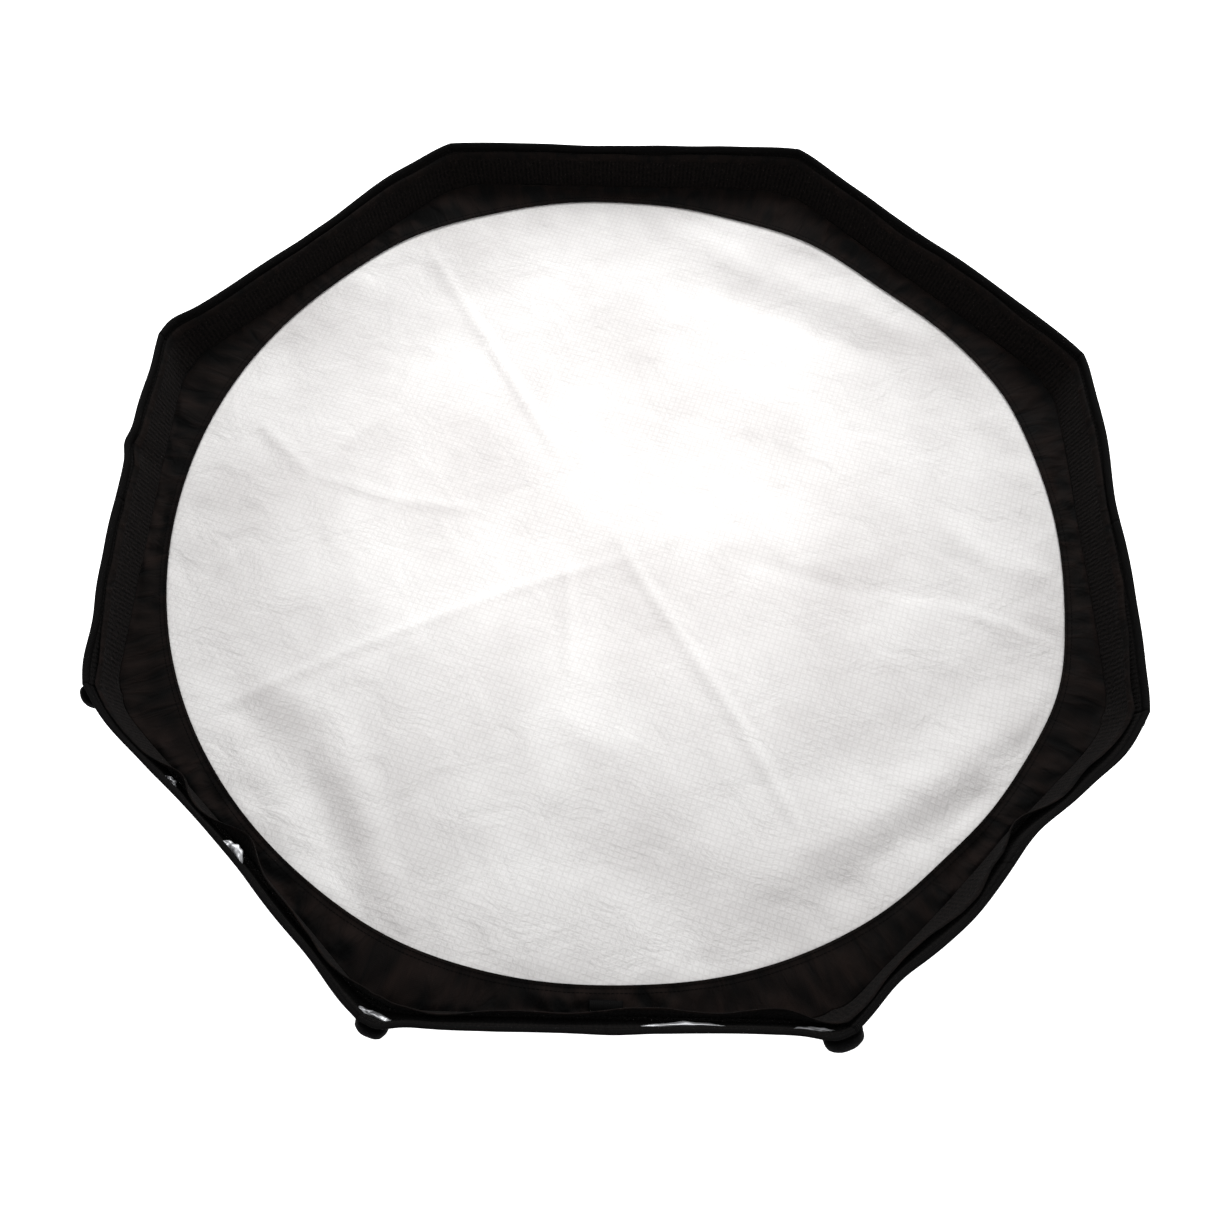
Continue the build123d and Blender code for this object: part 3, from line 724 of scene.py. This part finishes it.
def rib_sleeve(rib):
    """A strip of oxford sewn over the gores' seam as a tunnel for the rod, with two flat wings."""
    point, length, out = rod_line(rib)
    side_way = tangent(azimuth(rib))
    origin, line, _ = panel_frame(rib, "left")
    wing = 8.5 * MM
    tunnel = 3.9 * MM        # radius of the rod's tunnel
    start_share, end_share = 0.11, 0.985

    def place(u, v):
        share = start_share + (end_share - start_share) * v
        rod = point(share)
        seam = origin + line * ((rod - origin).dot(line))
        seam += out * (RIB_BOW * sin(pi * share))
        rise = max(0.0, (rod - seam).dot(out)) + tunnel
        lateral = (2 * u - 1) * wing
        dome = bell(lateral, tunnel) ** 1.3
        drop = abs(lateral) * 0.19
        pinch = 0.35 * MM * ripple(u * 4, v * 60, rib * 2.2, 1.0)
        return seam + side_way * lateral + out * (rise * dome - drop * (1 - dome) + 1.0 * MM + pinch)

    bm = unit_sheet(18, 72)
    lay(bm, place, lambda u, v: (u * 2 * wing, v * length))
    strip = make(f"rib_sleeve_{rib}", bm, sleeve_cloth, solid=0.7 * MM, outward=lambda centre: out)
    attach(strip, f"rib_{rib}")
    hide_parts(f"rib_{rib}_sleeve")
    return strip


POCKET_SHIFTS = {6: 9, 7: -6}    # millimetres counterclockwise round the rim
POCKET_BACK = 0.4        # depth of a pocket's inner half, against its outer half


def corner_pocket(rib):
    """Doubled oxford cap that takes the rod's tip: a stuffed-looking bulge outside the corner."""
    size = POCKET_SIZES[rib]
    angle = azimuth(rib)
    radial = polar(1, angle, 0)
    side_way = tangent(angle)
    shift = side_way * (POCKET_SHIFTS.get(rib, 0) * MM)
    low_centre = polar(RIM_CORNER - 21 * MM, angle, EDGE_Z - 15 * MM)
    high_centre = shift + polar(
        RIM_CORNER + (1.5 + 3 * size) * MM, angle, RIM_Z - (17 - 3 * size) * MM)
    axis = high_centre - low_centre
    out = axis.normalized().cross(side_way)
    if out.dot(radial) < 0:
        out = -out
    sides, rows = 28, 22

    def place(u, v):
        turn = 2 * pi * u
        fat = (max(0.0, 1 - (2 * v - 1) ** 4)) ** 0.5
        wide = (7.5 + 5.5 * size * smooth(v * 1.2)) * MM * fat
        deep = (4.6 + 3.4 * size * smooth(v * 1.1)) * MM * fat
        c, s = cos(turn), sin(turn)
        deep *= 1.0 if s > 0 else POCKET_BACK
        square = (abs(c) ** 2.6 + abs(s) ** 2.6) ** (-1 / 2.6)
        crease = 1 + 0.07 * ripple(c * 2.2, s * 2.2 + rib, v * 3.2, 0.9) * fat
        centre = low_centre + axis * (v * 0.98 + 0.01)
        return centre + side_way * (wide * c * square * crease) + out * (deep * s * square * crease)

    bm = unit_tube(sides, rows)
    lay(bm, place, lambda u, v: (u * 60 * MM, v * 60 * MM), wraps=True)
    bmesh.ops.remove_doubles(bm, verts=bm.verts, dist=0.02 * MM)
    close_ends(bm)
    cap = make(f"corner_pocket_{rib}", bm, sleeve_cloth)
    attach(cap, f"rib_{rib}")
    return cap


# ---------------------------------------------------------------- diffuser
# Fold lines left in the window by its storage bag, in metres from the axis, with their height in
# millimetres (+ is a ridge towards the front) and half width.
CREASES = (
    (((-0.206, 0.345), (-0.125, 0.206), (-0.05, 0.075)), 1.3, 6),
    (((0.0, 0.0), (0.022, -0.044), (0.10, -0.17), (0.166, -0.294)), 1.1, 6),
    (((-0.36, -0.195), (-0.23, -0.125), (-0.10, -0.063), (0.02, -0.02)), 1.1, 6),
    (((-0.044, -0.02), (-0.04, -0.10), (-0.038, -0.149)), 0.8, 6),
    (((0.30, -0.07), (0.345, -0.085), (0.395, -0.109)), 1.1, 6),
    (((0.10, -0.02), (0.20, -0.05), (0.33, -0.06)), -0.8, 9),
    (((-0.345, 0.115), (-0.30, 0.068), (-0.29, 0.055)), 1.1, 6),
    (((-0.29, 0.055), (-0.20, 0.03), (-0.12, 0.02)), 0.8, 6),
    (((-0.29, 0.055), (-0.33, -0.02), (-0.37, -0.06)), 0.7, 7),
    (((-0.29, 0.06), (-0.22, 0.13), (-0.20, 0.20)), 0.7, 7),
)
# Soft folds, broader, the same way.
SOFT_FOLDS = (
    (((0.375, -0.155), (0.27, -0.235), (0.154, -0.302), (0.10, -0.352)), 4.2, 20),
    (((0.33, -0.235), (0.24, -0.285), (0.17, -0.345)), -3.0, 17),
    (((0.36, -0.10), (0.24, -0.20), (0.10, -0.26)), -2.6, 26),
    (((-0.335, -0.165), (-0.255, -0.24), (-0.20, -0.33)), -3.0, 20),
    (((-0.30, -0.155), (-0.24, -0.19), (-0.20, -0.28), (-0.17, -0.36)), 2.6, 18),
    (((-0.13, -0.33), (-0.05, -0.29), (0.05, -0.33)), -2.0, 26),
    (((0.03, 0.385), (0.13, 0.32), (0.24, 0.27), (0.32, 0.215)), 2.2, 20),
    (((0.08, 0.30), (0.18, 0.25), (0.26, 0.21)), -1.6, 18),
    (((-0.26, 0.28), (-0.14, 0.24), (-0.03, 0.26)), 1.2, 26),
    (((0.30, 0.02), (0.34, -0.02), (0.40, -0.04)), 1.6, 16),
    (((-0.09, -0.21), (-0.04, -0.19), (0.02, -0.22)), 1.2, 18),
)
FOLD_CONTRAST = 85       # painted shade for each metre of rise across 7 mm of cloth
FOLD_LINES = [([Vector(spot) for spot in line], high, wide) for line, high, wide in
              CREASES + SOFT_FOLDS]


def line_profile(line, x, y, wide):
    """How near a point is to a bent line, from 0 to 1, fading out towards both of its ends."""
    reach = 3 * wide
    if not (min(spot.x for spot in line) - reach < x < max(spot.x for spot in line) + reach and
            min(spot.y for spot in line) - reach < y < max(spot.y for spot in line) + reach):
        return 0.0
    here = Vector((x, y))
    total = sum((b - a).length for a, b in zip(line, line[1:]))
    best, run, share_at = 1e9, 0.0, 0.0
    for a, b in zip(line, line[1:]):
        step = b - a
        t = max(0.0, min(1.0, (here - a).dot(step) / step.length_squared))
        away = (a + step * t - here).length
        if away < best:
            best, share_at = away, (run + step.length * t) / total
        run += step.length
    if best > 3 * wide:
        return 0.0
    fade = smooth(share_at * 6) * smooth((1 - share_at) * 6)
    return bell(best, wide) * (0.25 + 0.75 * fade)


def window_height(x, y):
    angle = atan2(y, x)
    share = hypot(x, y) / seam_ring(angle)
    lift = -3.5 * MM * (1 - share**2)
    lift += 2.0 * MM * ripple(x, y, 0.0, 0.17) + 0.8 * MM * ripple(x, y, 5.0, 0.06)
    lift += 0.25 * MM * ripple(x, y, 9.0, 0.022)
    for line, high, wide in FOLD_LINES:
        lift += high * MM * line_profile(line, x, y, wide * MM)
    pucker = rim_ripple(angle, 13, 2.0) * 1.3 * MM
    lift += pucker * smooth((share - 0.86) / 0.12)
    return lift * smooth((1.0 - share) / 0.04)


def fold_shade(mesh, height, contrast):
    """Paints light and shade into a cloth's folds: slopes that face away from the key light are
    painted a little darker, those that face it lighter.
    """
    tone = mesh.attributes.new(PAINTED_FOLD_LIGHT, "FLOAT", "POINT")
    for vert, value in zip(mesh.vertices, tone.data):
        x, y = vert.co.x, vert.co.y
        rise = height(x + 2 * MM, y + 3 * MM) - height(x - 2 * MM, y - 3 * MM)
        value.value = max(-0.35, min(0.6, rise * contrast))


def diffuser_window():
    """Round window: one sheet of ripstop, slack enough to keep its fold lines."""

    def flat(u, v):
        x, y = disc(u, v)
        edge = seam_ring(atan2(y, x)) + SEAM_LAP
        return (edge * x, edge * y)

    def place(u, v):
        x, y = flat(u, v)
        return Vector((x, y, BORDER_Z - 0.75 * MM + window_height(x, y)))

    bm = unit_sheet(200, 200)
    lay(bm, place, flat)
    piece = make("diffusion_window", bm, window_cloth, solid=0.25 * MM, outward=upwards)
    # painted light and shade on the window's folds, by their slope towards the key light
    fold_shade(piece.data, window_height, FOLD_CONTRAST * 1.4)
    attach(piece, "diffuser")
    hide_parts("diffuser_window")
    return piece


def flange_foot(angle):
    """Where the border turns up into the flange."""
    near = corner_nearness(angle)
    radius = octagon(angle, BORDER_FLAT / CORNER - 0.6 * MM)
    return radius - 3.5 * MM * near**18 + 0.5 * waves(angle, RIM_WAVES) * (1 - near**6) * 0.4


def seam_ring(angle):
    """The window's seam: a circle that its stitching and the slack cloth draw in here and there."""
    return SEAM_RADIUS + waves(angle, SEAM_WAVES)


def border_lift(angle, share):
    """Radial puckers from the flange's seam, dying out towards the window's taut seam."""
    skew = angle + 0.05 * rim_ripple(angle, 4, 1.0) * share
    fan = rim_ripple(skew, 19, share * 1.1)
    fine = rim_ripple(skew, 46, share * 1.6)
    broad = rim_ripple(angle, 7, share * 1.2 + 3)
    grow = smooth(share * 1.8) * smooth((1.02 - share) * 5)
    return (3.4 * MM * fan + 1.1 * MM * fine + 2.4 * MM * broad) * grow


def border_top(angle, share):
    """Height of the border, whose inner edge is a rolled hem."""
    hem = 0.9 * MM * bell(share, 0.06)
    return BORDER_Z + 0.35 * MM + border_lift(angle, share) + hem


def diffuser_border():
    """Black border between the window's seam and the flange, puckered by both seams."""

    def place(u, v):
        angle = 2 * pi * u
        inner, outer = seam_ring(angle), flange_foot(angle)
        return polar(inner + (outer - inner) * v, angle, border_top(angle, v))

    def gathers(x, y):
        angle = atan2(y, x)
        inner, outer = seam_ring(angle), flange_foot(angle)
        return border_lift(angle, min(1.0, max(0.0, (hypot(x, y) - inner) / (outer - inner))))

    def flat(u, v):
        return (u * 2 * pi * SEAM_RADIUS, v * 35 * MM)

    bm = unit_tube(1440, 22)
    lay(bm, place, flat, wraps=True)
    piece = make("diffuser_black_border", bm, border_cloth, solid=0.6 * MM, outward=upwards)
    # painted light and shade on the puckers: slopes facing the key light lighter and browner, the
    # others darker
    fold_shade(piece.data, gathers, -FOLD_CONTRAST * 2)
    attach(piece, "diffuser")
    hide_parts("diffuser_border")
    return piece


# The flange's section, as depth inwards from its outer face in millimetres and share of its height,
# with the material: hook pile outside, border cloth inside, a turned hem on top.
PILE, CLOTH = range(2)
FLANGE_RINGS = 1080      # round the whole rim
FLANGE_SECTION = (
    (0.0, 0.00, PILE), (0.0, 0.20, PILE), (0.0, 0.40, PILE), (0.0, 0.60, PILE), (0.0, 0.80, PILE),
    (0.2, 0.86, CLOTH), (0.1, 0.95, CLOTH), (0.8, 1.01, CLOTH), (1.7, 0.95, CLOTH),
    (1.9, 0.86, CLOTH), (1.2, 0.80, PILE), (1.2, 0.60, PILE), (1.2, 0.40, PILE),
    (1.2, 0.20, PILE), (1.2, 0.06, CLOTH), (0.6, -0.01, CLOTH),
)


def flange_height(angle):
    near = corner_nearness(angle)
    dip = 3.0 * rim_ripple(angle, 7, 1.0)
    dip += 9 * waves(angle, FLANGE_PEELS) / (15 * MM)
    return TAPE_TOP - (1.0 + max(0.0, dip) * (1 - near**6)) * MM


def flange_radius(angle, climb):
    """Outer face of the flange, from its foot (0) to its hem (1)."""
    foot = flange_foot(angle)
    rim = skirt_radius(angle, flange_height(angle)) - TAPE_DEPTH
    crinkle = 0.7 * MM * rim_ripple(angle, 24, climb) * climb
    return foot + (rim - foot) * climb - waves(angle, FLANGE_PEELS) * climb**1.3 + crinkle


def diffuser_flange():
    """Upstanding flange with hook tape, pressed onto the skirt's loops and peeled off in places."""
    sides = len(FLANGE_SECTION)
    bm = unit_tube(sides, FLANGE_RINGS)
    paint_section(bm, FLANGE_SECTION)

    def place(u, v):
        depth, share, _ = FLANGE_SECTION[round(u * sides) % sides]
        angle = 2 * pi * v
        top = flange_height(angle)
        height = BORDER_Z + share * (top - BORDER_Z)
        radius = flange_radius(angle, max(0.0, min(1.0, share)))
        return polar(radius - depth * MM, angle, height)

    lay(bm, place, lambda u, v: (v * 2 * pi * BORDER_FLAT, u * 80 * MM), wraps=True)
    bmesh.ops.remove_doubles(bm, verts=bm.verts, dist=0.01 * MM)
    piece = make("diffuser_flange", bm, hook_pile, border_cloth)
    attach(piece, "diffuser")
    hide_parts("diffuser_hook_tape")
    return piece


def lining_glimpse(number, centre, half, across):
    """A fold of the shell's lining that stands up between the skirt and the peeled flange."""
    step = 360 / RIBS
    rib = round((centre % 360 + step / 2) / step) % RIBS or RIBS
    side = "left" if around(centre, (rib - 0.5) * step) > 0 else "right"

    def place(u, v):
        angle = radians(centre + half * (2 * u - 1))
        height = RIM_Z - GLIMPSE_DEPTH
        taper = max(0.02, sin(pi * u)) ** 0.7 if 0 < u < 1 else 0.02
        ragged = 1 + 0.35 * ripple(u * 5 + number * 3, 0.0, 4.0, 1.0)
        outer = skirt_radius(angle, height) - 2.3 * MM
        crumple = ripple(u * 7 + number * 5, v * 1.6, 1.0, 1.0) * 1.4 * MM
        rise = 2.2 * MM * taper * sin(pi * v * 0.8)
        radius = outer - across * MM * taper * ragged * v
        return polar(radius, angle, height + crumple + rise - 3 * MM * v)

    length = radians(2 * half) * RIM_CORNER
    bm = unit_sheet(44, 12)
    lay(bm, place, lambda u, v: (u * length, v * GLIMPSE_CUT))
    area = sum(face.calc_area() for face in bm.faces)
    piece = make(f"lining_fold_{number}", bm, lining, solid=0.4 * MM,
                 outward=upwards)
    ride_panel(piece, rib, side)


def pull_tab():
    """Loop of webbing sewn on the border for pulling the diffuser off."""
    low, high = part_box("diffuser_pull_tab")
    centre, size = (low + high) / 2, high - low

    def place(u, v):
        x = centre.x + (u - 0.5) * size.x
        arch = sin(pi * v) ** 0.5 if 0 < v < 1 else 0.0
        return Vector((x, low.y + v * size.y, BORDER_Z + (1.2 + 2.6 * arch) * MM))

    bm = unit_sheet(16, 12)
    lay(bm, place, lambda u, v: (u * size.x, v * size.y))
    piece = make("pull_tab", bm, tab_webbing, solid=1.2 * MM, outward=upwards)
    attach(piece, "diffuser")
    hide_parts("diffuser_pull_tab")
    return piece


# ---------------------------------------------------------------- baffle and collar
def inner_baffle():
    """Inner diffusion cloth: an octagon whose sides are cut hollow, pulled out at its corners."""
    def place(u, v):
        x, y = disc(u, v)
        angle, share = atan2(y, x), hypot(x, y)
        hollow = 1 - 0.075 * (1 - corner_nearness(angle) ** 2)
        reach = octagon(angle, BAFFLE_CORNER - 3 * MM) * hollow
        spot = polar(reach * share, angle, 0)
        sag = -5 * MM * (1 - share**2)
        drawn = 1.6 * MM * rim_ripple(angle, 9, 0) * smooth((share - 0.5) * 2)
        soft = 1.2 * MM * ripple(spot.x, spot.y, 3.0, 0.09)
        return Vector((spot.x, spot.y, BAFFLE_Z - 0.4 * MM + sag * 0.4 + drawn + soft))

    def flat(u, v):
        spot = place(u, v)
        return (spot.x, spot.y)

    bm = unit_sheet(72, 72)
    lay(bm, place, flat)
    piece = make("inner_baffle", bm, baffle_cloth, solid=0.3 * MM, outward=upwards)
    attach(piece, "baffle")
    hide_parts("baffle_cloth")
    return piece


def baffle_elastics():
    """Flat elastics from the baffle's corners down to the ribs, all in one piece."""
    wide, long = 12 * MM, 62 * MM
    bm = bmesh.new()
    for rib in range(1, RIBS + 1):
        angle = azimuth(rib)
        _, line, _ = panel_frame(rib, "left")
        point, length, out = rod_line(rib)
        side_way = tangent(angle)
        top = polar(BAFFLE_CORNER - 17 * MM, angle, BAFFLE_Z + 0.3 * MM)
        bend = polar(BAFFLE_CORNER - 1 * MM, angle, BAFFLE_Z + 0.1 * MM)
        share = ((bend - point(0)).dot(line)) / length
        foot = point(share + 0.09) - out * 6.2 * MM
        corners = [top, bend, foot]
        strap = unit_sheet(6, 24)
        uv = strap.loops.layers.uv.new("cloth")
        for face in strap.faces:
            for loop in face.loops:
                loop[uv].uv = (loop.vert.co.x * wide, loop.vert.co.y * long)
        for vert in strap.verts:
            u, v = vert.co.x, vert.co.y
            leg = min(int(v * 2), 1)
            a, b = corners[leg], corners[leg + 1]
            spot = a.lerp(b, v * 2 - leg)
            soften = bell(v - 0.5, 0.07) * 1.6 * MM
            spot -= Vector((0, 0, soften))
            width = wide * (1 - 0.1 * sin(pi * v))
            vert.co = spot + side_way * ((u - 0.5) * width)
        scratch = bpy.data.meshes.new("scratch")
        strap.to_mesh(scratch)
        strap.free()
        bm.from_mesh(scratch)
        bpy.data.meshes.remove(scratch)
    piece = make("baffle_elastics", bm, elastic, solid=0.9 * MM)
    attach(piece, "baffle")
    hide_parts("baffle_straps")
    return piece


def rear_collar():
    """Gathered sleeve of shell cloth from the ring out to the gores, with an elastic hem."""
    low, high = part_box("rear_collar")
    foot, mouth = RING_RADIUS + 0.4 * MM, high.y - 0.6 * MM

    def place(u, v):
        angle = 2 * pi * u
        pleat = 1.3 * MM * rim_ripple(angle, 14, 0.3 * v)
        pleat *= sin(pi * min(1, v * 1.1))
        radius = foot + (mouth - foot) * v + pleat + 0.8 * MM
        height = low.z + (high.z - low.z) * v
        if v < 0.12:
            radius += 0.5 * MM * cos(angle * 90)
        return polar(radius, angle, height)

    bm = unit_tube(360, 14)
    lay(bm, place, lambda u, v: (u * 2 * pi * mouth, v * 30 * MM), wraps=True)
    for spot in ((RING_RADIUS, 0, 11.0), (0, RING_RADIUS, 7.0), (0, -RING_RADIUS, 7.0)):
        centre = Vector((spot[0], spot[1], 14.5 * MM))
        doomed = [face for face in bm.faces
                  if (face.calc_center_median() - centre).length < spot[2] * MM + 1.5 * MM]
        bmesh.ops.delete(bm, geom=doomed, context="FACES")
    piece = make("rear_collar_sleeve", bm, shell_cloth, solid=0.8 * MM,
                 outward=lambda centre: Vector((centre.x, centre.y, 0)))
    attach(piece, "hub")
    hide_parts("rear_collar")
    return piece


# ---------------------------------------------------------------- stitching
STITCHES = 760           # in one row round the window
STITCH = 2.6 * MM        # length of one
THREAD = 0.55 * MM       # its thickness


def stitch_row(bm, points, length, thick):
    """Stitches of sewing thread along a path of points, one between each two of them."""
    for start_at, end_at in zip(points, points[1:]):
        along = end_at - start_at
        turn = Vector((0, 0, 1)).rotation_difference(along.normalized()).to_matrix().to_4x4()
        bmesh.ops.create_cone(
            bm, cap_ends=True, segments=5, radius1=thick / 2, radius2=thick / 2,
            depth=min(length, along.length * 0.72),
            matrix=Matrix.Translation((start_at + end_at) / 2) @ turn,
        )


def seam_stitching():
    """The window's seam: two rows of black thread beside the white cloth."""
    bm = bmesh.new()
    for inset in (2.2 * MM, 6.0 * MM):
        points = []
        for k in range(STITCHES + 1):
            angle = 2 * pi * k / STITCHES
            inner, outer = seam_ring(angle), flange_foot(angle)
            height = border_top(angle, inset / (outer - inner)) + 0.12 * MM
            points.append(polar(inner + inset, angle, height))
        stitch_row(bm, points, STITCH, THREAD)
    piece = make("window_seam_stitches", bm, black_thread)
    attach(piece, "diffuser")
    return piece


# ---------------------------------------------------------------- stage
def stage():
    floor_mesh = unit_sheet(2, 2)
    bmesh.ops.scale(floor_mesh, verts=floor_mesh.verts, vec=(14, 14, 1))
    bmesh.ops.translate(floor_mesh, verts=floor_mesh.verts, vec=(-7, -7, 0))
    material, tree, where = start("white_studio_floor", "Object")
    paper = add(tree, "TexNoise", {"Vector": where, "Scale": 3.0, "Detail": 2.0}).outputs["Fac"]
    surface = add(tree, "BsdfPrincipled", {
        "Base Color": ramp(tree, paper, 0.2, 0.8, "#f7f7f7", "#ffffff"), "Roughness": 0.9,
        "Specular IOR Level": 0.1, "Emission Color": linear("#ffffff"), "Emission Strength": 0.9,
    })
    add(tree, "OutputMaterial", {"Surface": surface})
    floor = make("studio_floor", floor_mesh, material, outward=upwards)


def area_light(name, place, aim, size, power, shape="SQUARE"):
    data = bpy.data.lights.new(name, "AREA")
    data.shape = shape
    data.size = size
    data.energy = power
    light = bpy.data.objects.new(name, data)
    light.location = place
    light.rotation_mode = "QUATERNION"
    light.rotation_quaternion = (Vector(aim) - Vector(place)).to_track_quat("-Z", "Y")
    light.visible_camera = False
    bpy.context.scene.collection.objects.link(light)
    return light


def lights():
    world = bpy.data.worlds.new("soft_white_studio")
    world.use_nodes = True
    background = world.node_tree.nodes["Background"]
    background.inputs["Color"].default_value = linear("#ffffff")
    background.inputs["Strength"].default_value = 0.80
    bpy.context.scene.world = world
    glow = (-0.005, 0.10)
    area_light("key_softbox", (0.3, 2.1, 1.75), (0, 0.05, 0.3), 1.2, 66)
    area_light("fill_softbox", (1.8, -1.6, 1.6), (0, 0, 0.2), 1.8, 6)
    for name, size, power in (("lamp_glow", 0.56, 2.1), ("lamp_core", 0.30, 1.9)):
        area_light(name, (*glow, BAFFLE_Z + 0.010), (*glow, 1.0), size, power, "DISK")


def camera():
    """Looks down on the front from the side towards -Y, 27 degrees off the axis."""
    data = bpy.data.cameras.new("camera")
    data.sensor_width = 36.0
    data.lens = 36.56
    view = bpy.data.objects.new("camera", data)
    view.location = (-0.0063, -0.5702, 1.2701)
    view.rotation_mode = "ZYX"
    view.rotation_euler = (radians(26.65), 0.0, radians(1.33))
    bpy.context.scene.collection.objects.link(view)
    bpy.context.scene.camera = view
    bpy.context.scene.view_settings.view_transform = "Standard"


camera()
dress_cad_nodes()
front_skirts()
for number in range(1, RIBS + 1):
    for hand in SIDES:
        gore_half(number, hand)
    rib_sleeve(number)
    corner_pocket(number)
diffuser_window()
diffuser_border()
diffuser_flange()
for number, glimpse in enumerate(LINING_GLIMPSES, 1):
    lining_glimpse(number, *glimpse)
pull_tab()
inner_baffle()
baffle_elastics()
rear_collar()
seam_stitching()
stage()
lights()
